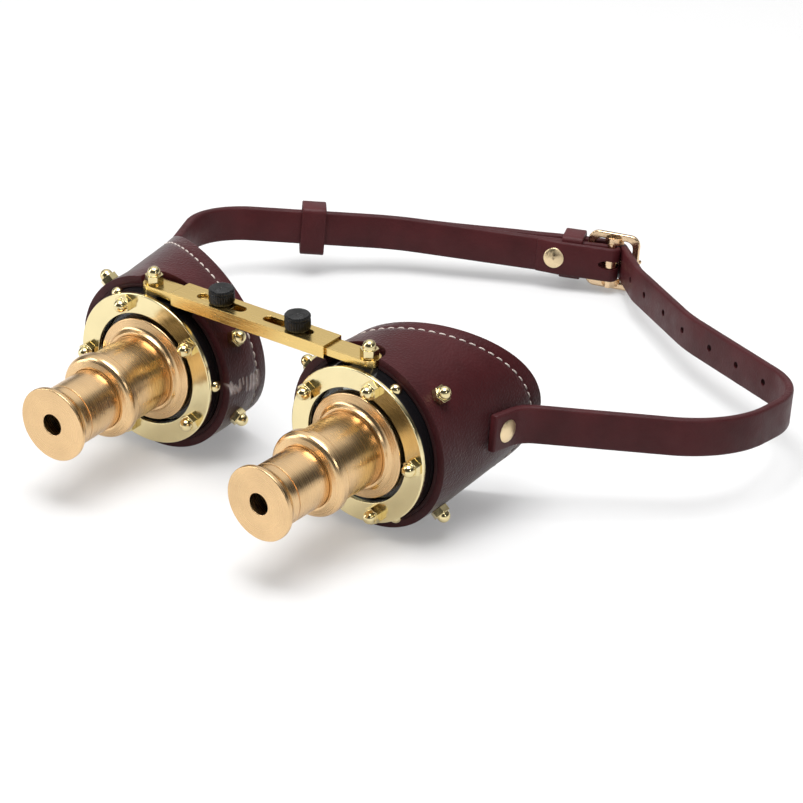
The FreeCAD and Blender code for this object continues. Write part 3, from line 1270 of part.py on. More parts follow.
def buckle_strap():
    """Strap on the wearer's right: riveted to the cup, folded round the buckle bar at its end."""
    thick = size.strap_thick.value
    fold = size.fold_thick.value
    bend_inside = size.bar_radius.value + size.running_gap.value
    bend_outside = bend_inside + fold
    taper = size.fold_taper.value
    run_in = polygon_face([by_bar(taper, 0), by_bar(taper, thick), by_bar(0, bend_outside),
                           by_bar(0, bend_inside)])
    turn_out = Part.Arc(by_bar(0, bend_outside), BAR + AXIS * bend_outside,
                        by_bar(0, -bend_outside)).toShape()
    turn_in = Part.Arc(by_bar(0, bend_inside), BAR + AXIS * bend_inside,
                       by_bar(0, -bend_inside)).toShape()
    ends = [Part.LineSegment(by_bar(0, bend_inside * sign), by_bar(0, bend_outside * sign)).toShape()
            for sign in (1, -1)]
    half_ring = Part.Face(Part.Wire(Part.__sortEdges__([turn_out, turn_in] + ends)))
    bend = size.fold_bend.value
    end = size.fold_end.value
    close = size.running_gap.value / 2
    fold_back = polygon_face([
        by_bar(0, -bend_inside), by_bar(bend, -bend_inside + close), by_bar(end, -close),
        by_bar(end, -close - fold), by_bar(bend, -bend_outside + close), by_bar(0, -bend_outside)])
    pieces = [standing(face, size.strap_width.value)
              for face in (buckle_face, run_in, half_ring, fold_back)]
    solid = pieces[0].fuse(pieces[1:])
    lean = (right_bend - right_rivet).normalize()
    hole = strap_hole(right_rivet, lean, size.rivet_shank.value + size.running_gap.value * 2)
    slot_half = size.prong_slot.value
    slot_width = size.prong_half_width.value + size.soft_gap.value
    slot = standing(polygon_face([by_bar(slot_half, -bend_outside * 2),
                                  by_bar(slot_half, bend_outside * 2),
                                  by_bar(-slot_half, bend_outside * 2),
                                  by_bar(-slot_half, -bend_outside * 2)]), slot_width * 2)
    place, outer_face, inner_face = fold_rivet_seats()
    rivet_hole = Part.makeCylinder(
        size.rivet_shank.value + size.running_gap.value, bend_outside * 4,
        by_bar(place, -bend_outside * 2), OUT)
    seat = Part.makeCylinder(size.rivet_head.value + size.running_gap.value * 2, bend_outside,
                             by_bar(place, inner_face), -OUT)
    solid = solid.cut([hole, slot, rivet_hole, seat]).removeSplitter()
    keep(shaped("buckle_strap", solid, strap_placement), "buckle_strap")


def tail_strap():
    """Strap on the wearer's left: adjusting holes, through the buckle, tail under the keepers."""
    solid = standing(tail_face, size.strap_width.value)
    lean = (left_bend - left_rivet).normalize()
    holes = [strap_hole(left_rivet, lean, size.rivet_shank.value + size.running_gap.value * 2)]
    first = nearest_distance(tail_strap_route, prong_at_strap)
    for step in range(-HOLES_TO_CUP, HOLES_ON_TAIL + 1):
        place, direction = along(tail_strap_route, first + step * size.hole_pitch.value)
        holes.append(strap_hole(place, direction, size.hole_radius.value))
    solid = solid.cut(holes).removeSplitter()
    keep(shaped("tail_strap", solid, strap_placement), "tail_strap")


def loop(origin, way, out, length, low, high, half_height, wall):
    """A leather loop round straps: inside from low to high outwards, and half_height each way."""
    def rectangle(grow):
        return polygon_face([origin + out * (low - grow), origin + out * (high + grow),
                             origin + way * length + out * (high + grow),
                             origin + way * length + out * (low - grow)])
    outside = standing(rectangle(wall), (half_height + wall) * 2)
    inner_face = polygon_face([origin - way * wall + out * low, origin - way * wall + out * high,
                               origin + way * (length + wall) + out * high,
                               origin + way * (length + wall) + out * low])
    return outside.cut(standing(inner_face, half_height * 2)).removeSplitter()


def keepers():
    """Fixed keeper held in the fold, and the loose keeper round both straps."""
    half_height = size.strap_width.value / 2 + size.soft_gap.value
    wall = size.keeper_wall.value
    taper_gap = size.bar_radius.value + size.running_gap.value
    keeper_far = size.keeper_start.value + size.keeper_width.value
    under = taper_gap * (1 - keeper_far / size.fold_taper.value) - size.running_gap.value
    fixed = loop(by_bar(keeper_far, 0), AXIS, OUT, size.keeper_width.value, under,
                 size.keeper_reach.value, half_height, wall)
    keep(shaped("fixed_keeper", fixed, strap_placement), "fixed_keeper")

    gap = size.soft_gap.value
    middle = last_bend + run_back * size.loose_keeper_place.value
    start = middle - run_back * (size.loose_keeper_width.value / 2)
    half = size.strap_thick.value / 2
    reach = half + layer + gap + size.loose_keeper_room.value
    sag = size.loose_keeper_sag.value
    loose = loop(start, run_back, run_out, size.loose_keeper_width.value, -half - gap, reach,
                 half_height + sag / 2, wall)
    loose.translate(Vector(0, 0, -sag / 2))
    keep(shaped("loose_keeper", loose, strap_placement), "loose_keeper")


def fold_rivet_seats():
    """Place of the fold rivet back from the bar, and the faces that its two heads press on."""
    place = size.fold_rivet_place.value
    fold_share = (place - size.fold_bend.value) / (size.fold_end.value - size.fold_bend.value)
    bend_inside = size.bar_radius.value + size.running_gap.value
    inner_face = -(bend_inside * (1 - fold_share) + size.fold_thick.value)
    paring = 1 - place / size.fold_taper.value
    outer_face = size.strap_thick.value \
        + (bend_inside + size.fold_thick.value - size.strap_thick.value) * paring
    return place, outer_face + size.running_gap.value, inner_face


def fold_rivet():
    """Rivet that closes the fold, with its domed head on the inner side."""
    place, outer_face, inner_face = fold_rivet_seats()
    slack = size.running_gap.value
    rivet = rivet_solid(outer_face - inner_face + slack * 2, size.rivet_head.value,
                        size.rivet_small_head.value)
    shape = in_direction(rivet, by_bar(place, outer_face + slack), -OUT)
    keep(shaped("fold_rivet", Part.makeCompound([shape]), strap_placement), "fold_rivet")


def buckle():
    """Bowed frame with its centre bar on two ears, and the prong that turns on the bar."""
    half_length = size.buckle_length.value / 2
    half_height = size.buckle_height.value / 2
    wire = size.buckle_wire.value
    thick = size.buckle_thick.value
    bow = size.buckle_bow.value
    corner_radius = size.buckle_corner.value
    frame_axes = Rotation(Vector(0, 0, 1), FRAME_TURN)
    plate = Part.makeBox(half_length * 2, thick, half_height * 2,
                         Vector(-half_length, bow - thick / 2, -half_height))
    window = Part.makeBox((half_length - wire) * 2, thick * 3, (half_height - wire) * 2,
                          Vector(-half_length + wire, bow - thick * 1.5, -half_height + wire))
    across = [edge for edge in plate.Edges if abs(edge.tangentAt(edge.FirstParameter).y) > 0.5]
    plate = plate.makeFillet(corner_radius, across)
    across = [edge for edge in window.Edges if abs(edge.tangentAt(edge.FirstParameter).y) > 0.5]
    window = window.makeFillet(corner_radius - wire / 2, across)
    frame = plate.cut(window)
    rims = [edge for edge in frame.Edges
            if edge.BoundBox.YLength < thick * 0.01
            and abs(edge.BoundBox.YMin - bow) > thick * 0.4]
    frame = frame.makeFillet(frame_edge_round, rims)
    radius = size.bar_radius.value
    neck = radius * EAR_NECK_SHARE
    foot = size.buckle_ear.value
    ear_base = size.strap_width.value / 2 + size.soft_gap.value
    ear_tall = half_height - wire / 2 - ear_base
    for base in (ear_base, -ear_base - ear_tall):
        outline = [Vector(-neck, -neck, base), Vector(neck, -neck, base),
                   Vector(foot, bow, base), Vector(-foot, bow, base)]
        frame = frame.fuse(polygon_face(outline).extrude(Vector(0, 0, ear_tall)))
    reach = size.strap_width.value / 2 + size.soft_gap.value + radius / 2
    bar = Part.makeCylinder(radius, reach * 2, Vector(0, 0, -reach))
    frame = frame.fuse(bar).removeSplitter()
    frame.Placement = Placement(BAR, frame_axes)
    keep(shaped("buckle_frame", Part.makeCompound([frame]), strap_placement), "buckle_frame")

    half_width = size.prong_half_width.value
    inside = radius + size.slide_gap.value
    ring = Part.makeCylinder(size.prong_loop.value, half_width * 2, Vector(0, 0, -half_width))
    start, end = prong_line()
    way = (end - start).normalize()
    pin = Part.makeCylinder(size.prong_radius.value, (end - start).Length, start, way)
    tip = Part.makeSphere(size.prong_radius.value, end)
    hollow = Part.makeCylinder(inside, half_width * 4, Vector(0, 0, -half_width * 2))
    prong = ring.fuse([pin, tip]).cut(hollow).removeSplitter()
    prong.Placement = Placement(BAR, frame_axes)
    keep(shaped("buckle_prong", Part.makeCompound([prong]), strap_placement), "buckle_prong")


bridge_channel()
eye_pieces(-1, "right_")
eye_pieces(1, "left_")
buckle_strap()
tail_strap()
keepers()
fold_rivet()
buckle()
doc.recompute()

# Every object has to be sound before anything is written.
for item in doc.Objects:
    if "Invalid" in item.State or "Error" in item.State:
        raise RuntimeError("object failed: " + item.Label)
for node in nodes:
    if node.Shape.isNull() or not node.Shape.isValid():
        raise RuntimeError("bad shape: " + node.Label)

os.makedirs("parts", exist_ok=True)
for node in nodes:
    node.Shape.exportStep("parts/%s.step" % node.Label)
print("nodes:", len(nodes))
whole = FreeCAD.BoundBox()
for node in nodes:
    whole.add(node.Shape.BoundBox)
print("box: %.3f %.3f %.3f to %.3f %.3f %.3f" % (
    whole.XMin, whole.YMin, whole.ZMin, whole.XMax, whole.YMax, whole.ZMax))
for label, route in (("buckle strap", buckle_strap_route), ("tail strap", tail_strap_route)):
    print("length of %s route: %.1f" % (label, sum(route_length(piece) for piece in route)))
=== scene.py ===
# %% [markdown]
# # Steampunk goggles
# Two leather eyecups with telescoping brass loupes hang on a sliding brass bridge, and a buckled
# leather strap closes the loop behind the head. The measured metal construction comes in as a
# fixed frame. This lesson dresses it: it turns the brass on a lathe of formulas, sews the cups,
# bends the straps, and gives every surface its finish. All lengths are millimetres until the
# last moment, when MM takes them to metres.

# %% Load the measured frame
import json
import math
import bpy
import bmesh
import numpy as np
from mathutils import Matrix, Vector

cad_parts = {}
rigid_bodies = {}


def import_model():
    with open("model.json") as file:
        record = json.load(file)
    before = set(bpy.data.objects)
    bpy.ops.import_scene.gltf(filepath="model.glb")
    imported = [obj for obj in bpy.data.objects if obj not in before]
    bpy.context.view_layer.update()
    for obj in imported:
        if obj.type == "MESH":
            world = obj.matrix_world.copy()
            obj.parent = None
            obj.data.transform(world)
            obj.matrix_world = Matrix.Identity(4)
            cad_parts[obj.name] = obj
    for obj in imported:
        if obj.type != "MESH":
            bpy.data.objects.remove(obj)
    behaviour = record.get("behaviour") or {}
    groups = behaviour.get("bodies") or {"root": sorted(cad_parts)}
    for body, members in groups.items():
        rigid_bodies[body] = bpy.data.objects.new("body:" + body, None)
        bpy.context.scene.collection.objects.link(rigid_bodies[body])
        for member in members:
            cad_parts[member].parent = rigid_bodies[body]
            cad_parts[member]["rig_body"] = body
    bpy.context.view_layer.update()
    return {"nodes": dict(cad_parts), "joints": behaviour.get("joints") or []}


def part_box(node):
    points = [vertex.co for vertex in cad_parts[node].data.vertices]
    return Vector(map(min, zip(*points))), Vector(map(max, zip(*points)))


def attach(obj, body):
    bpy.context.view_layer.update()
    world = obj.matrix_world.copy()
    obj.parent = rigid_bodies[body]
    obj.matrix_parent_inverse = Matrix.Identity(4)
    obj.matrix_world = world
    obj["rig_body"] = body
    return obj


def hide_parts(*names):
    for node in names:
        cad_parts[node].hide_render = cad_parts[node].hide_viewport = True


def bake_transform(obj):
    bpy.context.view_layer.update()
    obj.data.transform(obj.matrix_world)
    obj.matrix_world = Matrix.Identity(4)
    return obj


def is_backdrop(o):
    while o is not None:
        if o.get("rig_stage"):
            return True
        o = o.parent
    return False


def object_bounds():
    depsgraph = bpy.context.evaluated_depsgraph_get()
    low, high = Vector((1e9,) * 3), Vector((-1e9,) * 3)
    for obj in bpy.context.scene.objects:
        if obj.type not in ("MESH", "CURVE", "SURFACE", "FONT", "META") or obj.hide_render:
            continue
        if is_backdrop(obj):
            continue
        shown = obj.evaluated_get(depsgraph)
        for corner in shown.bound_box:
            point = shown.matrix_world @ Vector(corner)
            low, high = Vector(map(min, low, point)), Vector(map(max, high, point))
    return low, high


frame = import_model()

MM = 0.001
joints = {joint["name"]: joint for joint in frame["joints"]}
nodes = frame["nodes"]

# %% [markdown]
# ## Where the eyes are
# Each eye is easiest to draw in its own frame: x away from the other eye's side, y back along the
# optical axis from the bezel's front face, z up. The axis of the draw tube's slide gives the
# direction, and the middle of the bezel ring gives the place. SIDES is -1 for the wearer's right.

# %% One matrix for each eye
SIDES = {"right": -1, "left": 1}
BEZEL_THICK = 1.2


def eye_matrix(name):
    """Takes millimetres of an eye's own frame to metres of the model."""
    low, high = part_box(name + "_bezel_ring")
    axis = Vector(joints[name + "_draw_slide"]["axis"])
    front = (low + high) / 2 - axis * (BEZEL_THICK / 2 * MM)
    turn = -math.atan2(axis.x, axis.y)
    return Matrix.Translation(front) @ Matrix.Rotation(turn, 4, "Z") @ Matrix.Scale(MM, 4)


EYES = {name: eye_matrix(name) for name in SIDES}
middle = (EYES["right"].translation + EYES["left"].translation) / 2
TOE = math.atan2(*joints["left_draw_slide"]["axis"][:2])
print("middle between the bezels:", [round(c, 5) for c in middle])

# %% [markdown]
# ## The photograph's view
# The camera was worked out from the two bezel rings and the two eyepieces, whose true sizes are
# known. It looks down by 28 degrees from the wearer's left, through a long lens, so that the
# near and the far loupe are almost the same size.

# %% Camera
VIEW_AZIMUTH = 36.65
VIEW_ELEVATION = 28.23
VIEW_DISTANCE = 876.9
VIEW_RIGHT, VIEW_UP = 41.76, 1.28
LENS, SENSOR = 144.16, 36.0

azimuth, elevation = math.radians(VIEW_AZIMUTH), math.radians(VIEW_ELEVATION)
camera_data = bpy.data.cameras.new("camera")
camera_data.lens = LENS
camera_data.sensor_width = SENSOR
camera_data.clip_end = 20
camera = bpy.data.objects.new("camera", camera_data)
bpy.context.scene.collection.objects.link(camera)
turn = Matrix.Rotation(azimuth, 4, "Z") @ Matrix.Rotation(math.pi / 2 - elevation, 4, "X")
place = turn @ Vector((VIEW_RIGHT, VIEW_UP, VIEW_DISTANCE)) * MM + middle
camera.matrix_world = Matrix.Translation(place) @ turn
bpy.context.scene.camera = camera
bpy.context.scene.view_settings.view_transform = "Standard"

# %% [markdown]
# ## Finishes
# A finish is a Principled shader whose colour, roughness and bump come from a few noise nodes on
# Object coordinates, which are real metres here. `Nodes` keeps the calls short: `add` makes a
# node and sets its inputs. `Finish` adds what every surface needs, and `wire` joins a socket to
# its shader.

# %% The Finish helper
MIX_A, MIX_B, MIX_RESULT = 6, 7, 2      # the Mix node's colour sockets; others share their names


def shade(color, factor):
    """A colour made lighter or darker."""
    return tuple(channel * factor for channel in color[:3])


class Nodes:
    """Short calls that add nodes to a tree."""

    def __init__(self, tree):
        self.tree = tree

    def add(self, kind, inputs=None, **settings):
        node = self.tree.nodes.new(kind)
        for key, value in settings.items():
            setattr(node, key, value)
        for key, value in (inputs or {}).items():
            if isinstance(value, bpy.types.NodeSocket):
                self.tree.links.new(value, node.inputs[key])
            else:
                node.inputs[key].default_value = value
        return node

    def reckon(self, operation, first, second):
        """One step of arithmetic on two values."""
        return self.add("ShaderNodeMath", {0: first, 1: second}, operation=operation).outputs[0]


class Finish(Nodes):
    """A material with its Principled shader and short calls that drive it."""

    def __init__(self, name, color, **shader_inputs):
        self.material = bpy.data.materials.new(name)
        self.material.use_nodes = True
        super().__init__(self.material.node_tree)
        self.shader = self.tree.nodes["Principled BSDF"]
        self.color = (*color, 1.0)
        for key, value in {"Base_Color": self.color, **shader_inputs}.items():
            self.shader.inputs[key.replace("_", " ")].default_value = value
        self.place = self.add("ShaderNodeTexCoord").outputs["Object"]

    def wire(self, output, key):
        self.tree.links.new(output, self.shader.inputs[key])

    def noise(self, scale, detail=3.0, place=None, stretch=None):
        """Noise of a given number of cells per metre, stretched along an axis if asked."""
        place = place or self.place
        if stretch:
            place = self.add("ShaderNodeMapping", {"Vector": place, "Scale": stretch}).outputs[0]
        return self.add("ShaderNodeTexNoise", {"Vector": place, "Scale": scale,
                                               "Detail": detail}).outputs["Fac"]

    def spread(self, value, low, high, start=0.3, end=0.7):
        """Maps a value from start..end to low..high."""
        return self.add("ShaderNodeMapRange", {"Value": value, "From Min": start, "From Max": end,
                                               "To Min": low, "To Max": high}).outputs[0]

    def mix(self, share, first, second):
        """Mixes two colours by a share."""
        first, second = (color if isinstance(color, bpy.types.NodeSocket) else (*color[:3], 1.0)
                         for color in (first, second))
        return self.add("ShaderNodeMix", {"Factor": share, MIX_A: first, MIX_B: second},
                        data_type="RGBA").outputs[MIX_RESULT]

    def tint(self, value, low, high):
        """The finish's own colour, from low to high times as light, as a noise runs."""
        return self.mix(self.spread(value, 0, 1), shade(self.color, low), shade(self.color, high))

    def bump(self, height, distance, strength=1.0, **below):
        """Bump from a height, distance in metres, stacked on an earlier bump if one is given."""
        return self.add("ShaderNodeBump", {"Height": height, "Distance": distance,
                                           "Strength": strength, **below}).outputs["Normal"]

    def tooled(self, marks, roughness, distance, strength):
        """Tool marks: a noise that moves both the gloss and the bump."""
        self.wire(self.spread(marks, roughness * 0.85, roughness * 1.2), "Roughness")
        self.wire(self.bump(marks, distance, strength), "Normal")
        return self.material


# %% [markdown]
# ### Leather
# The cups and the strap are dark red, pigmented leather with a satin top coat: a fine pebble
# grain of half a millimetre, faint clouds in the colour, and a broad soft gloss. Cut edges are
# burnished, redder and rougher. Where the leather creases, as told by an attribute of the
# mesh, its colour is painted pale as a highlight, and its top coat shines.

# %% Leather finishes
# Pale colour painted along the creases: a painted highlight for their glints.
PAINTED_CREASE_HIGHLIGHT = (0.62, 0.50, 0.48)


def leather(name, color, roughness, grain, grain_height, gloss=0.24, fuzz=0.0):
    """Grained leather: grain is the cells per metre, grain_height their depth in metres."""
    finish = Finish(name, color, Roughness=roughness, Specular_IOR_Level=gloss,
                    Sheen_Weight=fuzz, Sheen_Roughness=0.3, Coat_Roughness=0.12)
    crease_glint = finish.add("ShaderNodeAttribute", attribute_name="crease_glint").outputs["Fac"]
    clouds = finish.tint(finish.noise(90, 4), 0.82, 1.2)
    # Painted highlight: the colour turns pale where the crease mask is high.
    finish.wire(finish.mix(crease_glint, clouds, PAINTED_CREASE_HIGHLIGHT), "Base Color")
    cells = finish.add("ShaderNodeTexVoronoi", {"Vector": finish.place, "Scale": grain,
                                                "Randomness": 1.0}, feature="SMOOTH_F1")
    pebbles = finish.bump(cells.outputs["Distance"], grain_height, 0.6)
    pores = finish.noise(grain * 2.2, 2)
    finish.wire(finish.bump(pores, grain_height * 0.5, 0.4, Normal=pebbles), "Normal")
    rough = finish.spread(finish.noise(260, 3), roughness - 0.05, roughness + 0.07)
    polish = finish.reckon("MULTIPLY", crease_glint, -roughness * 0.75)
    finish.wire(finish.reckon("ADD", rough, polish), "Roughness")
    finish.wire(crease_glint, "Coat Weight")
    return finish.material


cup_leather = leather("cup_leather", (0.052, 0.0088, 0.0105), 0.42, 1700, 0.00020, 0.13, 0.9)
strap_leather = leather("strap_leather", (0.072, 0.013, 0.015), 0.46, 2100, 0.00009)
edge_leather = leather("edge_leather", (0.055, 0.008, 0.010), 0.50, 2600, 0.00016)
lining_leather = leather("lining_leather", (0.045, 0.014, 0.014), 0.62, 1500, 0.00012)

# %% [markdown]
# ### Brass
# Six brasses: the mirror-bright pale bezel, the yellow nuts, the warmer rivets and buckle, the
# brushed bridge and the satin, reddish turned loupes. Turning leaves fine rings round the axis,
# so that finish measures its place along the eye's own axis and by the distance from the bezel.

# %% Brass finishes
def polished(name, color, roughness, tarnish=0.85):
    """Polished metal with faint clouds of tarnish and hairline scratches in its gloss."""
    finish = Finish(name, color, Metallic=1.0, Roughness=roughness)
    finish.wire(finish.tint(finish.noise(120, 4), tarnish, 1.0), "Base Color")
    smears = finish.noise(700, 4, stretch=(1, 0.25, 1))
    finish.wire(finish.spread(smears, roughness * 0.7, roughness * 1.5), "Roughness")
    return finish.material


def brushed(name, color, roughness, along):
    """Metal brushed in one direction: noise stretched along it moves gloss, colour and bump."""
    finish = Finish(name, color, Metallic=1.0, Roughness=roughness)
    lines = finish.noise(2600, 4, stretch=along)
    finish.wire(finish.tint(lines, 0.95, 1.03), "Base Color")
    return finish.tooled(lines, roughness, 0.00001, 0.12)


def turned(name, color, roughness, side):
    """Metal turned on a lathe: rings that vary only along the eye's axis and its radius."""
    finish = Finish(name, color, Metallic=1.0, Roughness=roughness)
    place = finish.add("ShaderNodeMapping", {"Vector": finish.place,
                                             "Location": -EYES[side].translation}).outputs[0]
    axis = Vector(joints[side + "_draw_slide"]["axis"])
    along = finish.add("ShaderNodeVectorMath", {0: place, 1: axis}, operation="DOT_PRODUCT")
    distance = finish.add("ShaderNodeVectorMath", {0: place}, operation="LENGTH")
    rings = finish.add("ShaderNodeCombineXYZ", {"X": along.outputs["Value"],
                                                "Y": distance.outputs["Value"]}).outputs[0]
    finish.wire(finish.tint(finish.noise(110, 4), 0.88, 1.05), "Base Color")
    return finish.tooled(finish.noise(3500, 3, place=rings), roughness, 0.00002, 0.16)


bezel_brass = polished("bezel_brass", (0.85, 0.73, 0.42), 0.14, 0.93)
nut_brass = polished("nut_brass", (0.82, 0.69, 0.38), 0.16)
buckle_brass = polished("buckle_brass", (0.82, 0.60, 0.38), 0.20)
bridge_brass = brushed("bridge_brass", (0.78, 0.56, 0.21), 0.24, (0.04, 1, 1))
rivet_brass = polished("rivet_brass", (0.86, 0.68, 0.42), 0.34)
loupe_brass = {name: turned(name + "_loupe_brass", (0.75, 0.51, 0.27), 0.26, name)
               for name in SIDES}

# %% [markdown]
# ### Enamel, black steel, glass and thread
# The drum is baked black enamel, glossy with a little orange peel. The thumb screws are black
# steel with a dull oil finish. The thread is waxed, pale and slightly fuzzy.

# %% The other finishes
PEEL = 0.00003


def enamel(name, color, roughness, gloss=0.5):
    """Coated black metal: waves of orange peel in the bump and dust in the gloss."""
    finish = Finish(name, color, Roughness=roughness, Specular_IOR_Level=gloss)
    finish.wire(finish.bump(finish.noise(900, 2), PEEL, 0.3), "Normal")
    dust = finish.noise(320, 5)
    finish.wire(finish.spread(dust, roughness, roughness * 1.8, 0.45, 0.75), "Roughness")
    return finish.material


def clear_glass(name, color):
    """Glass with faint smears in its gloss."""
    finish = Finish(name, color, Transmission_Weight=1.0, IOR=1.46)
    finish.wire(finish.spread(finish.noise(150, 4), 0.0, 0.05, 0.4, 0.8), "Roughness")
    return finish.material


def waxed_thread(name, color):
    """Thread whose strands are a fine noise in colour and bump."""
    finish = Finish(name, color, Roughness=0.6)
    strands = finish.noise(5200, 3)
    finish.wire(finish.tint(strands, 0.8, 1.0), "Base Color")
    finish.wire(finish.bump(strands, 0.00006, 0.5), "Normal")
    return finish.material


black_enamel = enamel("black_enamel", (0.006, 0.006, 0.007), 0.10)
black_steel = enamel("black_steel", (0.004, 0.004, 0.0042), 0.22, 0.35)
glass = clear_glass("glass", (0.30, 0.33, 0.32))
thread = waxed_thread("waxed_thread", (0.66, 0.57, 0.52))

# %% [markdown]
# ## From arrays to pieces
# Every new piece is a grid of points. `grid_faces` numbers the quads of a grid, wrapped round in
# either direction if asked, and `piece` puts points and faces into a mesh and takes it to metres
# through a matrix. `show` says which body it rides on and which measured node it stands for.

# %% Mesh helpers
WELD, KNOB_WELD = 0.00001, 0.000001


def unit(vectors):
    """Vectors, one in each row, made one long."""
    return vectors / np.linalg.norm(vectors, axis=-1, keepdims=True)


def smooth_step(share):
    """Rises from 0 to 1 with a level start and end: s squared times three less two s."""
    return share ** 2 * (3 - 2 * share)


def grid_faces(rows, columns, wrap_rows=False, wrap_columns=False):
    """Quads of a rows by columns grid of points numbered row by row."""
    row = np.arange(rows if wrap_rows else rows - 1)
    column = np.arange(columns if wrap_columns else columns - 1)
    r, c = np.meshgrid(row, column, indexing="ij")
    r2, c2 = (r + 1) % rows, (c + 1) % columns
    quads = np.stack([r * columns + c, r * columns + c2, r2 * columns + c2, r2 * columns + c], -1)
    return quads.reshape(-1, 4)


def show(name, mesh, body=None, node=None):
    """Puts a mesh in the scene, on its body, in place of its measured node."""
    made = bpy.data.objects.new(name, mesh)
    bpy.context.scene.collection.objects.link(made)
    if body:
        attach(made, body)
    if node:
        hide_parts(node)
    return made


def piece(name, points, faces, matrix, finishes, body=None, node=None, smooth=True,
          weld=0.0, finish_index=None, crease_glint=None):
    """Makes a mesh object from points in millimetres, with all its faces turned outward."""
    mesh = bpy.data.meshes.new(name)
    mesh.from_pydata(np.asarray(points, float).reshape(-1, 3).tolist(), [],
                     [list(map(int, face)) for face in faces])
    mesh.transform(matrix)
    for finish in finishes:
        mesh.materials.append(finish)
    if finish_index is not None:
        mesh.polygons.foreach_set("material_index", np.asarray(finish_index, np.int32))
    if crease_glint is not None:
        mesh.attributes.new("crease_glint", "FLOAT", "POINT").data.foreach_set("value", crease_glint)
    form = bmesh.new()
    form.from_mesh(mesh)
    if weld:
        bmesh.ops.remove_doubles(form, verts=form.verts, dist=weld)
    bmesh.ops.recalc_face_normals(form, faces=form.faces)
    form.to_mesh(mesh)
    form.free()
    mesh.polygons.foreach_set("use_smooth", [smooth] * len(mesh.polygons))
    return show(name, mesh, body, node)


def ease(made, width, segments=2, angle=35):
    """Breaks the sharp edges of a piece with a small bevel."""
    bevel = made.modifiers.new("eased_edges", "BEVEL")
    bevel.width = width * MM
    bevel.segments = segments
    bevel.limit_method = "ANGLE"
    bevel.angle_limit = math.radians(angle)


# %% [markdown]
# ## Turned brass
# A lathe piece is a closed profile in radius and station, swept round the eye's axis. Real turned
# edges are never sharp, so `rounded` replaces each corner of the profile by a small arc whose
# radius is its third number; a large radius gives the hollow flares.

# %% The lathe
LATHE_STEPS, BEZEL_STEPS = 160, 200
SUPPORT = 0.1


def rounded(corners, steps=5):
    """Closed outline through corners of (u, v, radius), each corner replaced by an arc."""
    spots, radii = np.split(np.array(corners, float), [2], 1)
    before, after = np.roll(spots, 1, 0) - spots, np.roll(spots, -1, 0) - spots
    reach = np.minimum(*(np.linalg.norm(way, axis=1) for way in (before, after)))[:, None]
    before, after = unit(before), unit(after)
    half = np.arccos(np.clip((before * after).sum(1, keepdims=True), -1, 1)) / 2
    cut = np.minimum(radii / np.tan(half), 0.49 * reach)
    centre = spots + unit(before + after) * cut / np.cos(half)
    start, end = spots + before * cut - centre, spots + after * cut - centre
    share = np.linspace(0, 1, steps)[None, :, None]
    swing = np.maximum(np.pi - 2 * half, 1e-6)[:, None]
    arcs = (np.sin((1 - share) * swing) * start[:, None] + np.sin(share * swing) * end[:, None]) \
        / np.sin(swing) + centre[:, None]
    return arcs.reshape(-1, 2)


def supported(profile):
    """Adds a point near both ends of each long straight, which keeps its shading flat between."""
    step = np.roll(profile, -1, 0) - profile
    length = np.linalg.norm(step, axis=1, keepdims=True)
    way = step / np.maximum(length, 1e-9)
    rows = np.stack([profile, profile + way * SUPPORT, profile + way * (length - SUPPORT)], 1)
    straight = length[:, 0] > 4 * SUPPORT
    return rows[np.stack([np.ones_like(straight), straight, straight], 1)]


def lathe(name, corners, matrix, finish, body, node, steps=LATHE_STEPS):
    """Sweeps (radius, station) round the station axis: x = r cos a, y = station, z = r sin a."""
    radius, station = supported(rounded(corners)).T
    angle = np.linspace(0, 2 * np.pi, steps, endpoint=False)[:, None]
    points = np.stack([radius * np.cos(angle), station + 0 * angle, radius * np.sin(angle)], -1)
    piece(name, points, grid_faces(steps, len(radius), True, True), matrix, [finish], body, node)


# %% [markdown]
# ### The pieces of a loupe
# The radii and stations are those of the measured pieces. Flange, fixed tube with its collar,
# sliding tube with its guide ring, and the flared eyepiece with the pinhole.

# %% Turn the bezels and loupes
EDGE = 0.12
SOFT_EDGE = 0.3

BEZEL = [(16.7, 0, EDGE), (22.6, 0, SOFT_EDGE), (22.6, 1.2, EDGE), (16.7, 1.2, EDGE)]
BASE = [(9.0, 0.8, 0), (10.96, 0.8, 0), (10.96, -2.3, 0.1), (11.7, -2.3, 0.25),
        (12.4, -1.1, 1.6), (15.2, -0.3, 0.35), (15.2, 2.4, EDGE), (9.0, 2.4, 0)]
TUBE = [(9.9, 0.8, 0), (9.9, -18.5, 0), (8.86, -18.5, 0), (8.86, -21.8, 0.15),
        (9.6, -21.8, 0.3), (12.2, -20.9, 2.6), (12.2, -17.7, 0.3), (10.9, -17.3, 1.6),
        (10.9, 0.8, 0)]
DRAW = [(8.0, -15.2, 0), (8.0, -33.5, 0), (8.8, -33.5, 0.1), (8.8, -18.2, 0), (9.84, -18.2, 0.1),
        (9.84, -15.2, 0.1)]
EYEPIECE = [(3.1, -38.8, 0.1), (3.1, -40.0, 0.2), (10.65, -40.0, 0.3), (10.65, -38.7, 0.5),
            (8.8, -37.0, 7.0), (8.8, -33.75, 0.06), (8.55, -33.75, 0), (8.55, -33.5, 0),
            (7.94, -33.5, 0), (7.94, -30.5, 0.1), (7.2, -30.5, 0.1), (7.2, -38.8, 0)]
LOUPE = [("flange", BASE, "_eyecup", "_loupe_base"), ("fixed_tube", TUBE, "_eyecup", "_loupe_tube"),
         ("sliding_tube", DRAW, "_draw", "_draw_tube"),
         ("eyepiece_turned", EYEPIECE, "_draw", "_eyepiece")]

for name, matrix in EYES.items():
    lathe(name + "_bezel", BEZEL, matrix, bezel_brass, name + "_eyecup", name + "_bezel_ring",
          BEZEL_STEPS)
    for part, corners, body, node in LOUPE:
        lathe(name + "_" + part, corners, matrix, loupe_brass[name], name + body, name + node)
print("turned pieces:", (1 + len(LOUPE)) * len(SIDES))

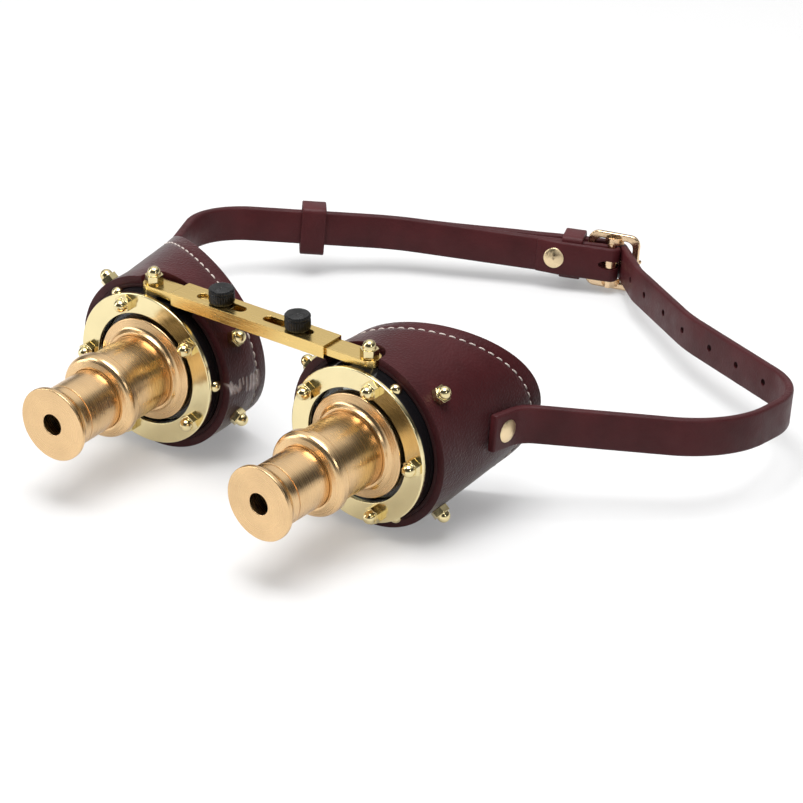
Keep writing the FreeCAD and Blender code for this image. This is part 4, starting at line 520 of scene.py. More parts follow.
# %% [markdown]
# ## Milled and cast metal
# The bridge, its tongues, the drums, the nuts, the rivets and the buckle are right in the
# measured model, but their edges are knife-sharp. A copy of the mesh is welded, its flat faces
# are made whole, and a small bevel catches the light along each edge.

# %% Copies with eased edges
def eased_copy(node, name, finish, width):
    """Copies a measured piece, welds it, and breaks its edges by a width."""
    source = nodes[node]
    mesh = source.data.copy()
    form = bmesh.new()
    form.from_mesh(mesh)
    bmesh.ops.remove_doubles(form, verts=form.verts, dist=WELD)
    bmesh.ops.dissolve_limit(form, angle_limit=math.radians(1.0), verts=form.verts,
                             edges=form.edges)
    form.to_mesh(mesh)
    form.free()
    mesh.materials.clear()
    mesh.materials.append(finish)
    mesh.polygons.foreach_set("use_smooth", [True] * len(mesh.polygons))
    made = show(name, mesh, source["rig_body"], node)
    ease(made, width)
    made.modifiers.new("face_shading", "WEIGHTED_NORMAL").keep_sharp = False


eased_copy("bridge_channel", "channel", bridge_brass, 0.12)
eased_copy("buckle_frame", "frame_of_buckle", buckle_brass, 0.05)
eased_copy("buckle_prong", "prong_of_buckle", buckle_brass, 0.05)
for name in SIDES:
    eased_copy(name + "_tongue", name + "_bar", bridge_brass, 0.15)
    eased_copy(name + "_drum", name + "_black_drum", black_enamel, 0.12)
    for node, part, width in (
            ("_bezel_nuts", "_nuts_of_bezel", 0.12), ("_cup_nuts", "_nuts_of_cup", 0.12),
            ("_bridge_nut", "_nut_of_bridge", 0.12), ("_drum_buttons", "_buttons", 0.05)):
        eased_copy(name + node, name + part, nut_brass, width)

# %% Finishes for the measured pieces that stay
KEPT = {"bridge_washer": bridge_brass, "bridge_stud": nut_brass, "bezel_studs": nut_brass,
        "cup_bolts": nut_brass, "lens": glass, "loupe_lens": glass, "lens_retainer": black_enamel}
for name in SIDES:
    for part, finish in KEPT.items():
        mesh = nodes[name + "_" + part].data
        mesh.materials.clear()
        mesh.materials.append(finish)
print("measured pieces that stay:", len(KEPT) * len(SIDES))

# %% [markdown]
# ## Thumb screws
# The knobs are finely knurled: a straight knurl is a radius that rises and falls round the rim,
# `r = R - d * (1 - |cos(n a / 2)|)`. The knurl fades out at the turned groove and at the bevels,
# and the top is dished to a small centre mark.

# %% Knurled knobs
KNOB_TEETH = 30
KNOB_CUT = 0.42
KNOB_TOP = 4.5
# Radius, height above the channel, share of the knurl's depth.
KNOB_PROFILE = np.array([
    (0.0, -3.0, 0), (1.45, -3.0, 0), (1.5, -2.9, 0), (1.5, 0.0, 0), (2.9, 0.0, 0), (3.1, 0.02, 0),
    (3.3, 0.25, 0), (3.6, 0.6, 1), (3.6, 2.9, 1), (3.55, 3.1, 0.3), (3.2, 3.2, 0), (3.2, 3.4, 0),
    (3.55, 3.5, 0.3), (3.6, 3.7, 1), (3.6, 4.05, 1), (3.3, 4.4, 0), (3.1, 4.48, 0),
    (2.7, KNOB_TOP, 0), (2.5, 4.42, 0), (0.5, 4.40, 0), (0.3, 4.25, 0), (0.0, 4.1, 0)])

angle = np.linspace(0, 2 * np.pi, KNOB_TEETH * 6, endpoint=False)[:, None]
radius, height, share = KNOB_PROFILE.T
radius = radius - KNOB_CUT * (1 - np.abs(np.cos(KNOB_TEETH / 2 * angle))) * share
points = np.stack([radius * np.cos(angle), radius * np.sin(angle), height + 0 * angle], -1)
for name in SIDES:
    node = name + "_thumb_screw"
    low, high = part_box(node)
    base = Vector(((low.x + high.x) / 2, (low.y + high.y) / 2, high.z - KNOB_TOP * MM))
    piece(name + "_knob", points, grid_faces(*points.shape[:2], True),
          Matrix.Translation(base) @ Matrix.Scale(MM, 4), [black_steel], node, node,
          weld=KNOB_WELD)
print("teeth on a knob:", KNOB_TEETH)

# %% [markdown]
# ## Leather cups
# A cup is one piece of leather bent round the drum. It is a cylinder over the drum, and behind it
# a ruled surface: straight lines from the circle C to a smaller oval O at the face, which leans
# with its long axis up to the temple, `P(a, s) = (1 - s) C(a) + s O(a)`. Each line ends where it
# meets the forehead, a cylinder that leans forward at its top; halving finds that station. The
# same surface drawn in by the leather's thickness gives the inner face.

# %% The cup's surface
CUP_FRONT, CUP_BARREL, CUP_REAR = 4.8, 13.5, 50.0
CUP_RADIUS = 25.9
CUP_OUTER, CUP_NOSE, CUP_TOP, CUP_BOTTOM = 28.2, 24.1, 26.06, 21.27
CUP_TURN = math.radians(33.9)
HEAD_RADIUS, HEAD_CENTRE, HEAD_LEAN = 104.2, 126.4, math.radians(5.1)
EYE_SPACING = 74.0
LEATHER, LINING, GAP = 2.2, 1.0, 0.1
HALVINGS = 40


def cup_point(angle, station, inset):
    """Point of the cup, x towards the temple. Angle 0 is the temple, 90 degrees is the top."""
    share = np.clip((station - CUP_BARREL) / (CUP_REAR - CUP_BARREL), 0, None)
    ring_x, ring_z = (CUP_RADIUS - inset) * np.cos(angle), (CUP_RADIUS - inset) * np.sin(angle)
    along = ((CUP_OUTER + CUP_NOSE) / 2 - inset) * np.cos(angle - CUP_TURN)
    across = ((CUP_TOP + CUP_BOTTOM) / 2 - inset) * np.sin(angle - CUP_TURN)
    cos, sin = math.cos(CUP_TURN), math.sin(CUP_TURN)
    oval_x = (CUP_OUTER - CUP_NOSE) / 2 + along * cos - across * sin
    oval_z = (CUP_TOP - CUP_BOTTOM) / 2 + along * sin + across * cos
    return np.stack([ring_x + (oval_x - ring_x) * share, station + 0 * ring_x,
                     ring_z + (oval_z - ring_z) * share], -1)


def rim_station(angle, inset):
    """Station at which the line at an angle meets the forehead's leaning cylinder."""
    low, high = np.full_like(angle, CUP_BARREL), np.full_like(angle, CUP_REAR)
    cos, sin = math.cos(TOE), math.sin(TOE)
    for _ in range(HALVINGS):
        halfway = (low + high) / 2
        x, y, z = np.moveaxis(cup_point(angle, halfway, inset), -1, 0)
        side = x * cos + y * sin + EYE_SPACING / 2
        depth = (y * cos - x * sin - HEAD_CENTRE) * math.cos(HEAD_LEAN) + z * math.sin(HEAD_LEAN)
        outside = side ** 2 + depth ** 2 > HEAD_RADIUS ** 2
        low, high = np.where(outside, halfway, low), np.where(outside, high, halfway)
    return low


# %% [markdown]
# ### Notch, rim and wrinkles
# At the top the leather is notched for the bridge, with a rounded corner at the tongue. One row
# of the grid follows the notch's back edge and two columns its sides, so the notch is left out
# of the quads, and a wall closes the open borders between the outer and the inner face. Along
# the rim a groove is pressed for the stitches and the edge outside of it swells. On the nose side
# the leather creases in short, steep folds, which are glossy and painted pale as a highlight.

# %% Build the cups
CUP_COLUMNS, CORNER_COLUMNS, NOTCH_COLUMNS = 420, 12, 30
NOTCH_ROWS, WALL_ROWS, RIM_ROWS = 19, 27, 22
NOTCH_OUTER, NOTCH_BACK, NOTCH_ROUND, NOTCH_FADE = 4.2, 10.2, 4.2, 8.0
NOTCH_FROM, NOTCH_TO = math.acos(NOTCH_OUTER / CUP_RADIUS), math.radians(126.4)
RIM_BAND = 7.0
STITCH_INSET = 4.1
GROOVE_DEPTH, GROOVE_WIDTH = 0.22, 0.75
RIM_SWELL = 0.15
CREASE_GLINT_GAIN, INNER_CREASE = 2.5, 0.3
CREASES = np.array([  # start and end as angle in degrees and station, width at each, depth
    (179.3, 5.0, 184.8, 6.6, 0.30, 0.85, 0.6), (178.2, 5.7, 186.8, 8.0, 0.30, 0.50, 0.7),
    (182.0, 7.6, 187.5, 9.7, 0.30, 0.50, 0.7), (180.3, 9.7, 187.0, 10.2, 0.30, 0.45, 0.7),
    (180.3, 11.2, 184.5, 11.6, 0.25, 0.30, 0.5), (181.8, 12.9, 191.0, 13.7, 0.30, 0.40, 0.5),
    (182.6, 15.2, 191.3, 15.6, 0.50, 0.70, 0.6), (182.4, 16.7, 192.5, 17.3, 0.50, 0.70, 0.6),
    (183.0, 18.3, 194.0, 18.9, 0.50, 0.70, 0.6)])


def crease_depth(angle, station):
    """Valleys along straight creases: a Gaussian of the distance to each, wider at its end."""
    degree = math.radians(1) * CUP_RADIUS
    spot = np.stack([np.degrees(angle) % 360 * degree, station], -1)
    deepest = np.zeros_like(station)
    for *ends, first_width, last_width, depth in CREASES:
        start, end = np.reshape(ends, (2, 2)) * [degree, 1]
        way = end - start
        share = np.clip((spot - start) @ way / (way @ way), 0, 1)
        distance = np.linalg.norm(spot - start - share[..., None] * way, axis=-1)
        width = first_width + share * (last_width - first_width)
        deepest = np.maximum(deepest, depth * np.exp(-(distance / width) ** 2))
    return deepest


def rim_relief(before_rim):
    """Swell of the edge less the stitch groove, at a way before the rim."""
    groove = GROOVE_DEPTH * np.exp(-((before_rim - STITCH_INSET) / GROOVE_WIDTH) ** 2)
    swell = RIM_SWELL * np.clip(1 - (before_rim / (STITCH_INSET * 0.9)) ** 2, 0, 1)
    return swell - groove


def shell_columns():
    """Angles round the cup with a line on each edge of the notch, close on its round corner."""
    free = np.linspace(NOTCH_TO, NOTCH_FROM + 2 * np.pi, CUP_COLUMNS)
    quarter = np.linspace(0, np.pi / 2, CORNER_COLUMNS)
    corner = np.arccos(NOTCH_ROUND / CUP_RADIUS * np.cos(quarter))[1:]
    across = np.linspace(np.pi / 2, NOTCH_TO, NOTCH_COLUMNS)[1:-1]
    return np.concatenate([free, corner + 2 * np.pi, across + 2 * np.pi])


def notch_row(angle):
    """Station of the notch's back edge, a quarter circle at its outer corner."""
    x = CUP_RADIUS * np.cos(angle)
    round_x = np.clip(x - NOTCH_OUTER + NOTCH_ROUND, 0, NOTCH_ROUND)
    inside = NOTCH_BACK - NOTCH_ROUND + np.sqrt(NOTCH_ROUND ** 2 - round_x ** 2)
    away = np.clip((x - NOTCH_OUTER) / NOTCH_FADE, 0, 1)
    return np.where(np.sin(angle) > 0, inside + NOTCH_ROUND * smooth_step(away), NOTCH_BACK)


def cup_shell(side, inset, thickness, dressed):
    """Points, faces, finishes and crease glint mask of a leather wall between two insets of the
    surface.
    """
    angle = shell_columns()
    back = notch_row(angle)
    layers, crease_glints = [], []
    for layer_inset in (inset, inset + thickness):
        rim = rim_station(angle, layer_inset)
        station = np.concatenate([
            CUP_FRONT + np.outer(np.linspace(0, 1, NOTCH_ROWS)[:-1], back - CUP_FRONT),
            back + np.outer(np.linspace(0, 1, WALL_ROWS)[:-1], rim - RIM_BAND - back),
            rim - np.outer(np.linspace(1, 0, RIM_ROWS), np.full_like(rim, RIM_BAND))])
        grid_angle = np.broadcast_to(angle, station.shape)
        points = cup_point(grid_angle, station, layer_inset)
        if dressed:
            outside = layer_inset == inset
            depth = crease_depth(grid_angle, station)
            # Crease mask on the outer face: it paints the pale highlight colour and gives the top
            # coat.
            crease_glints.append(np.clip(depth * CREASE_GLINT_GAIN, 0, 1) * outside)
            depth = depth - rim_relief(rim - station) if outside else depth * INNER_CREASE
            outward = np.stack([np.cos(grid_angle), 0 * station, np.sin(grid_angle)], -1)
            points -= outward * depth[..., None]
        layers.append(points)
    rows, columns = layers[0].shape[:2]
    in_notch = np.zeros((rows - 1, columns), bool)
    in_notch[:NOTCH_ROWS - 1, CUP_COLUMNS - 1:] = True
    quads = grid_faces(rows, columns, False, True).reshape(rows - 1, columns, 4)
    outer = quads[~in_notch]
    inner = outer[:, ::-1] + rows * columns
    edges = np.stack([outer, np.roll(outer, -1, 1)], -1).reshape(-1, 2)
    order = np.sort(edges, 1)
    _, first, counts = np.unique(order, axis=0, return_index=True, return_counts=True)
    border = edges[first[counts == 1]]
    walls = np.hstack([border[:, ::-1], border + rows * columns])
    points = np.concatenate(layers).reshape(-1, 3) * [side, 1, 1]
    faces = np.concatenate([outer, inner, walls])
    used, renumbered = np.unique(faces, return_inverse=True)
    index = np.repeat([0, 2, 1], [len(outer), len(inner), len(walls)])
    crease_glint = np.ravel(crease_glints)[used] if dressed else None
    return points[used], renumbered.reshape(faces.shape), index, crease_glint


CUP_LAYERS = [
    ("_cup", "_cup_leather", "cup_leather", [cup_leather, edge_leather, lining_leather],
     (0.0, LEATHER, True), (0.5, 3, 50)),
    ("_inner_lining", "_cup_lining", "lining", [lining_leather] * 3,
     (LEATHER + GAP, LINING, False), (0.3, 2, 50))]
for name, side in SIDES.items():
    for part, node, slot, finishes, shell, edge in CUP_LAYERS:
        points, faces, index, crease_glint = cup_shell(side, *shell)
        made = piece(name + part, points, faces, EYES[name], finishes, name + "_eyecup",
                     name + node, finish_index=index, crease_glint=crease_glint)
        ease(made, *edge)
        print(name + part, "has", len(points), "points")

# %% [markdown]
# ### Stitches
# A row of saddle stitches runs round the rim, 4 mm in from it: each stitch is a short capsule of
# waxed thread that lies in the pressed groove. They are spaced evenly along the real length of
# the line, not by angle.

# %% Sew the rims
STITCH_PITCH, STITCH_LENGTH, STITCH_RADIUS = 2.85, 2.1, 0.24
STITCH_RINGS, STITCH_SIDES = 9, 8
STITCH_TIP = 0.12
RIM_STEPS = 1440


def rim_line(count, back_off):
    """Points on the cup's outer face a given way before the rim, with their outward normals."""
    angle = np.linspace(0, 2 * np.pi, count, endpoint=False)
    station = rim_station(angle, 0.0) - back_off
    point = cup_point(angle, station, 0.0)
    line = cup_point(angle, station + 0.4, 0.0) - point
    normal = unit(np.cross(np.gradient(point, axis=0), line))
    return point, normal * np.sign((normal * point * [1, 0, 1]).sum(1))[:, None]


def capsules(centres, ways, ups):
    """One capsule for each centre: rings of a circle whose radius follows a superellipse."""
    centres, ways, ups = (rows[:, None, None] for rows in (centres, ways, ups))
    u = np.linspace(-1, 1, STITCH_RINGS)[:, None, None]
    swell = np.sqrt(np.clip(1 - np.abs(u) ** 3, 0, 1))
    swell[[0, -1]] = STITCH_TIP
    v = np.linspace(0, 2 * np.pi, STITCH_SIDES, endpoint=False)[:, None]
    ring = ups * np.cos(v) + np.cross(ways, ups) * np.sin(v)
    return centres + ways * (u * STITCH_LENGTH / 2) \
        + (ring * swell - ups * u ** 2 * 0.9) * STITCH_RADIUS


def capsule_faces(count):
    """Faces of all capsules, with their small ends closed."""
    each = STITCH_RINGS * STITCH_SIDES
    starts = np.arange(count) * each
    body = grid_faces(STITCH_RINGS, STITCH_SIDES, False, True)
    ends = np.array([np.arange(STITCH_SIDES)[::-1], np.arange(each - STITCH_SIDES, each)])
    return [face for faces in (body, ends)
            for face in (faces + starts[:, None, None]).reshape(-1, faces.shape[1]).tolist()]


for name, side in SIDES.items():
    line, normal = rim_line(RIM_STEPS, STITCH_INSET)
    step = np.linalg.norm(np.roll(line, -1, 0) - line, axis=1)
    length = step.sum()
    count = int(round(length / STITCH_PITCH))
    goals = (np.arange(count) + 0.5) * length / count
    at = np.searchsorted(np.cumsum(step), goals) % len(line)
    way = unit(np.roll(line, -3, 0)[at] - np.roll(line, 3, 0)[at])
    lift = STITCH_RADIUS * 0.55 - GROOVE_DEPTH
    points = capsules(line[at] + normal[at] * lift, way, normal[at]) * [side, 1, 1]
    piece(name + "_stitches", points, capsule_faces(count), EYES[name], [thread],
          name + "_eyecup", None)
print("stitches on a cup:", count)

# %% [markdown]
# ## Straps
# A strap is a flat band bent on edge: its middle line is straight runs and arcs in a plane that
# leans from the rivets down to the buckle. The section is a rounded rectangle carried along that
# line. `band` takes the line, the direction of its thickness, a thickness for each point and a
# width, and closes both ends with rings that shrink, so the ends are rounded like real ones.

# %% Bands along a line
BAND_ROUND, END_ROUND = 0.8, 0.48
END_RINGS = (0.35, 0.7, 1.0)
SECTION_ROUND_STEPS = 4


def section(thickness, width, radius):
    """Rounded rectangle round the origin: columns are across the thickness and the width."""
    t, w = thickness / 2, width / 2
    r = min(radius, t * 0.98)
    quarter = np.linspace(0, np.pi / 2, SECTION_ROUND_STEPS)
    corners = [(t - r, w - r), (-t + r, w - r), (-t + r, -w + r), (t - r, -w + r)]
    return np.concatenate([np.stack([a + r * np.cos(quarter + q * np.pi / 2),
                                     b + r * np.sin(quarter + q * np.pi / 2)], -1)
                           for q, (a, b) in enumerate(corners)])


def band(line, normal, across, thickness, width, radius=BAND_ROUND, closed=False):
    """Points and faces of a band. line and normal are rows of points, across is one direction."""
    thickness = np.broadcast_to(thickness, len(line))

    def ring(spot, out, thick, shrink=0.0):
        shape = section(thick - 2 * shrink, width - 2 * shrink, max(radius - shrink, 0.05))
        return spot + shape[:, :1] * out + shape[:, 1:] * across

    rings = [ring(*row) for row in zip(line, normal, thickness)]
    if closed:
        return np.array(rings), grid_faces(len(rings), len(rings[0]), True, True)
    for end, inner in ((0, 1), (-1, -2)):
        way = unit(line[end] - line[inner])
        grown = [ring(line[end] + way * END_ROUND * turn, normal[end], thickness[end],
                      END_ROUND * (1 - math.sqrt(1 - turn * turn * 0.98))) for turn in END_RINGS]
        rings = rings + grown if end else grown[::-1] + rings
    sides = len(rings[0])
    faces = grid_faces(len(rings), sides, False, True).tolist()
    faces.append(list(range(sides))[::-1])
    faces.append(list(range((len(rings) - 1) * sides, len(rings) * sides)))
    return np.array(rings), faces


# %% [markdown]
# ### Routes
# A route is a list of corners with the radius of the bend at each, in the strap's plane: x from
# the middle of the goggles and y back from the rivets. The buckle's bar and the lean of the plane
# are read from the buckle's joint.

# %% Route of the two straps
STRAP_WIDTH, STRAP_THICK, FOLD_THICK = 10.8, 2.5, 1.6
RIVET_STATION, RIVET_HEIGHT = 28.3, 2.3
SOFT_GAP = 0.3
STRAP_TONGUE, STRAP_FLAT, CUP_BEND = 4.6, 7.3, 9.0
BAR_RADIUS = 1.1
TAIL_APPROACH = math.radians(135.0)
LOOP_REACH, BUCKLE_BACK = 113.3, 136.2
BEND_SCALE = np.array([LOOP_REACH, BUCKLE_BACK, LOOP_REACH])
TAIL_BENDS = BEND_SCALE * [(1.0, 0.29, 0.282), (1.0, 0.573, 0.203), (0.534, 0.754, 0.53)]
BUCKLE_BENDS = BEND_SCALE * [(-0.858, 0.509, 0.177), (-0.441, 0.79, 0.53)]
APPROACH_X = 0.247 * LOOP_REACH
TAIL_LIFT, TAIL_DROP, TAIL_FREE = 6.4, 9.0, 37.4
APPROACH_BEND, HUMP_BEND, TAIL_BEND = 14.0, 5.0, 20.0
FOLD_TAPER, FOLD_BEND, FOLD_END = 24.0, 15.5, 22.5
TAPER_BEND, FOLD_BACK_BEND = 40.0, 8.0
HOLE_PITCH, HOLE_RADIUS, WORN_HOLE, RIVET_HOLE = 14.3, 1.0, (1.9, 1.1), 1.4
HOLES_TO_CUP, HOLES_ON_TAIL = 7, 2
TAIL_SAG, SAG_START, SAG_END = 1.0, 85.0, 45.0
RUN_STEP, ARC_STEP = 1.5, 0.7

hinge = joints["buckle_turn"]
plane_up = np.array(hinge["axis"])
plane_back = np.cross(plane_up, [1.0, 0, 0])


def cup_side_x(station, height):
    """Outer face of the cup towards the temple at a station, at a height above the axis."""
    angle = np.linspace(-1, 1, 4001)
    point = cup_point(angle, np.full_like(angle, station), 0.0)
    return float(np.interp(height, point[:, 2], point[:, 0]))


rivet_x = cup_side_x(RIVET_STATION, RIVET_HEIGHT)
half_width = STRAP_WIDTH / 2
cup_slope = math.atan2(cup_side_x(RIVET_STATION + half_width, RIVET_HEIGHT)
                       - cup_side_x(RIVET_STATION - half_width, RIVET_HEIGHT), STRAP_WIDTH)
rivet_side = EYE_SPACING / 2 + rivet_x * math.cos(TOE) + RIVET_STATION * math.sin(TOE)
rivet_back = RIVET_STATION * math.cos(TOE) - rivet_x * math.sin(TOE)
plane_origin = np.array(middle) / MM + [0, rivet_back, RIVET_HEIGHT]


def turned_by(vector, angle):
    """A vector of the plane turned to the left."""
    cos, sin = math.cos(angle), math.sin(angle)
    return np.array([vector[0] * cos - vector[1] * sin, vector[0] * sin + vector[1] * cos])


def in_model(ways):
    """Directions of the strap's plane as directions of the model."""
    ways = np.asarray(ways, float)
    return ways[..., :1] * [1.0, 0, 0] + ways[..., 1:] * plane_back


def to_model(points, height=0.0):
    """Points of the strap's plane, and a height across the strap, in the model's millimetres."""
    return plane_origin + in_model(points) + np.asarray(height)[..., None] * plane_up


bar_model = np.array(hinge["pos_m"]) / MM - plane_origin
BAR = np.array([bar_model[0], bar_model @ plane_back])
last_bend = BUCKLE_BENDS[-1][:2]
AXIS = unit(BAR - last_bend)
OUT = turned_by(AXIS, math.pi / 2)


def by_bar(back, out):
    """Point of the strap's plane given back from the bar and out from the strap's axis."""
    return BAR - AXIS * back + OUT * out


def cup_end(side):
    """Front end, rivet and last flat point of a strap on its cup."""
    backwards = turned_by((0, 1), -(cup_slope + TOE))
    outwards = turned_by(backwards, -math.pi / 2)
    rivet = np.array([rivet_side, 0]) + outwards * (SOFT_GAP + STRAP_THICK / 2)
    ends = [rivet - backwards * STRAP_TONGUE, rivet, rivet + backwards * STRAP_FLAT]
    return [spot * [side, 1] for spot in ends]


def normals_of(line):
    """Left normals of a line of the plane."""
    way = unit(np.gradient(line, axis=0))
    return np.stack([-way[:, 1], way[:, 0]], -1)


def route_line(corners):
    """Evenly fine points, left normals and lengths of a route of (x, y, radius) corners."""
    spots = np.array([corner[:2] for corner in corners], float)
    points = []
    start = spots[0]
    for before, spot, after, corner in zip(spots, spots[1:], spots[2:], corners[1:]):
        radius = corner[2]
        arriving, leaving = unit(spot - before), unit(after - spot)
        bend = math.acos(np.clip(arriving @ leaving, -1, 1))
        reach = radius * math.tan(bend / 2)
        enter, leave = spot - arriving * reach, spot + leaving * reach
        centre = spot + unit(leaving - arriving) * radius / math.cos(bend / 2)
        steps = max(int(np.linalg.norm(enter - start) / RUN_STEP), 1)
        points.append(start + (enter - start) * (np.arange(steps) / steps)[:, None])
        steps = max(int(radius * bend / ARC_STEP), 3)
        side = 1 if arriving[0] * leaving[1] - arriving[1] * leaving[0] > 0 else -1
        swing = side * bend * np.arange(steps) / steps
        spoke = enter - centre
        points.append(centre + np.outer(np.cos(swing), spoke)
                      + np.outer(np.sin(swing), [-spoke[1], spoke[0]]))
        start = leave
    steps = max(int(np.linalg.norm(spots[-1] - start) / RUN_STEP), 2)
    points.append(start + (spots[-1] - start) * (np.arange(steps + 1) / steps)[:, None])
    line = np.concatenate(points)
    length = np.concatenate([[0], np.cumsum(np.linalg.norm(np.diff(line, axis=0), axis=1))])
    return line, normals_of(line), length


# %% [markdown]
# ### The tail strap and its holes
# The strap from the wearer's left runs round the head, over the buckle's bar, and comes down on
# the other strap, where its end hangs a little lower. Round holes every 14.3 mm are counted from
# the prong. They are cut with a boolean, because a real hole shows its wall.

# %% Build the tail strap
front, rivet, bend = cup_end(1)
fold_outside = BAR_RADIUS + GAP + FOLD_THICK
approach = turned_by((1, 0), TAIL_APPROACH)
approach_side = turned_by(approach, -math.pi / 2)
pass_by = BAR + approach_side * (fold_outside + SOFT_GAP + STRAP_THICK / 2)
approach_start = pass_by - approach * ((APPROACH_X - pass_by[0]) / -approach[0])
hump = pass_by + approach * (((BAR + OUT * TAIL_LIFT - pass_by) @ OUT) / (approach @ OUT))
layer = STRAP_THICK + SOFT_GAP + GAP
run_back = unit(BUCKLE_BENDS[-2][:2] - last_bend)
run_out = turned_by(run_back, -math.pi / 2)
half_bend = math.acos(run_out @ OUT) / 2
tail_corner = last_bend + unit(run_out + OUT) * layer / math.cos(half_bend)
tail_corners = [(*front, 0), (*bend, CUP_BEND), *TAIL_BENDS, (*approach_start, APPROACH_BEND),
                (*hump, HUMP_BEND), (*by_bar(TAIL_DROP, TAIL_LIFT), TAIL_BEND),
                (*by_bar(FOLD_TAPER, STRAP_THICK / 2 + layer), TAIL_BEND),
                (*tail_corner, BUCKLE_BENDS[-1][2] + layer),
                (*(tail_corner + run_back * TAIL_FREE), 0)]
tail_line, tail_normal, tail_length = route_line(tail_corners)


def nearest(line, spot):
    """Number of the point of a line that is nearest to a spot."""
    return int(np.argmin(np.linalg.norm(line - spot, axis=1)))


def strap_piece(name, line, normal, thickness, node, height=0.0):
    """A strap on edge along a line of its plane, raised by a height across it."""
    spots = to_model(line, np.broadcast_to(height, len(line)))
    points, faces = band(spots, in_model(normal), plane_up, thickness, STRAP_WIDTH)
    made = piece(name, points, faces, Matrix.Scale(MM, 4), [strap_leather, edge_leather],
                 None, node)
    facing = np.empty(len(made.data.polygons) * 3)
    made.data.polygons.foreach_get("normal", facing)
    on_edge = np.abs(facing.reshape(-1, 3) @ plane_up) > 0.6
    made.data.polygons.foreach_set("material_index", on_edge.astype(np.int32))
    return made


def punch(made, places, ways, radii, depth, sides=32):
    """Cuts holes of (half width, half height) at places of the strap's plane, along ways."""
    angle = np.linspace(0, 2 * np.pi, sides, endpoint=False)[:, None]
    closed = grid_faces(2, sides, False, True).tolist() \
        + [list(range(sides))[::-1], list(range(sides, 2 * sides))]
    points, faces = [], []
    for spot, way, (wide, tall) in zip(places, in_model(ways), radii):
        ring = to_model(spot) + np.cos(angle) * np.cross(way, plane_up) * wide \
            + np.sin(angle) * plane_up * tall
        start = len(points) * sides
        points += [ring - way * depth / 2, ring + way * depth / 2]
        faces += [[start + corner for corner in face] for face in closed]
    cutter = piece(made.name + "_punch", points, faces, Matrix.Scale(MM, 4), [edge_leather],
                   smooth=False)
    cut = made.modifiers.new("punched", "BOOLEAN")
    cut.operation = "DIFFERENCE"
    cut.solver = "EXACT"
    cut.object = cutter
    bpy.context.view_layer.update()
    shape = bpy.data.meshes.new_from_object(
        made.evaluated_get(bpy.context.evaluated_depsgraph_get()))
    made.modifiers.clear()
    made.data = shape
    shape.set_sharp_from_angle(angle=math.radians(35))
    bpy.data.objects.remove(cutter)


to_end = np.clip((tail_length - tail_length[-1] + SAG_START) / (SAG_START - SAG_END), 0, 1)
tail = strap_piece("strap_with_holes", tail_line, tail_normal, STRAP_THICK, "tail_strap",
                   -TAIL_SAG * smooth_step(to_end))
first_hole = tail_length[nearest(tail_line, pass_by)]
hole_at = first_hole + HOLE_PITCH * np.arange(-HOLES_TO_CUP, HOLES_ON_TAIL + 1)
index = [int(np.argmin(np.abs(tail_length - s))) for s in hole_at] + [nearest(tail_line, rivet)]
radii = [(HOLE_RADIUS, HOLE_RADIUS)] * len(hole_at) + [(RIVET_HOLE, RIVET_HOLE)]
radii[HOLES_TO_CUP] = WORN_HOLE
punch(tail, tail_line[index], tail_normal[index], radii, 6.0)
print("tail strap in mm:", round(tail_length[-1], 1), "with", len(hole_at), "holes")

# %% [markdown]
# ### The buckle strap
# The strap from the wearer's right is pared thin at its end, folded round the buckle's bar and
# riveted to itself. A slot in the fold lets the prong through.

# %% Build the buckle strap
PRONG_SLOT = (3.4, 1.4)
front, rivet, bend = cup_end(-1)
bar_gap = BAR_RADIUS + GAP
fold_middle = bar_gap + FOLD_THICK / 2
run_in, _, run_in_length = route_line([
    (*front, 0), (*bend, CUP_BEND), *BUCKLE_BENDS, (*by_bar(FOLD_TAPER, 0.0), TAPER_BEND),
    (*by_bar(0, fold_middle), 0)])
turn_angle = np.linspace(0, np.pi, 24)[1:-1]
half_turn = BAR + np.outer(np.cos(turn_angle), OUT) * fold_middle \
    + np.outer(np.sin(turn_angle), AXIS) * fold_middle
run_out_line, _, _ = route_line([
    (*by_bar(0, -fold_middle), 0), (*by_bar(FOLD_BEND, -fold_middle + GAP / 2), FOLD_BACK_BEND),
    (*by_bar(FOLD_END, -GAP / 2 - FOLD_THICK / 2), 0)])
fold_line = np.concatenate([run_in, half_turn, run_out_line])
fold_normal = normals_of(fold_line)
is_folded = np.arange(len(fold_line)) >= len(run_in)
paring = np.where(is_folded, 0, np.clip((BAR - fold_line) @ AXIS / FOLD_TAPER, 0, 1))
fold_thickness = FOLD_THICK + (STRAP_THICK - FOLD_THICK) * smooth_step(paring)
fold_strap = strap_piece("folded_strap", fold_line, fold_normal, fold_thickness, "buckle_strap")
at = nearest(fold_line, rivet)
punch(fold_strap, [fold_line[at], BAR], [fold_normal[at], OUT],
      [(RIVET_HOLE, RIVET_HOLE), PRONG_SLOT], 9.0)
print("buckle strap to the bar in mm:", round(run_in_length[-1], 1))

# %% [markdown]
# ### Keepers
# The two keepers are short leather loops. A loop is a closed band: its line is a rounded
# rectangle round the straps, across their width.

# %% Build the keepers
KEEPER_WALL, KEEPER_CORNER, KEEPER_ROUND = 1.2, 1.1, 0.4
FIXED_STATION, FIXED_LENGTH, FIXED_HIGH = 15.5, 6.5, 8.0
LOOSE_STATION, LOOSE_LENGTH, LOOSE_ROOM, LOOSE_SAG = 25.8, 7.5, 0.8, 1.6


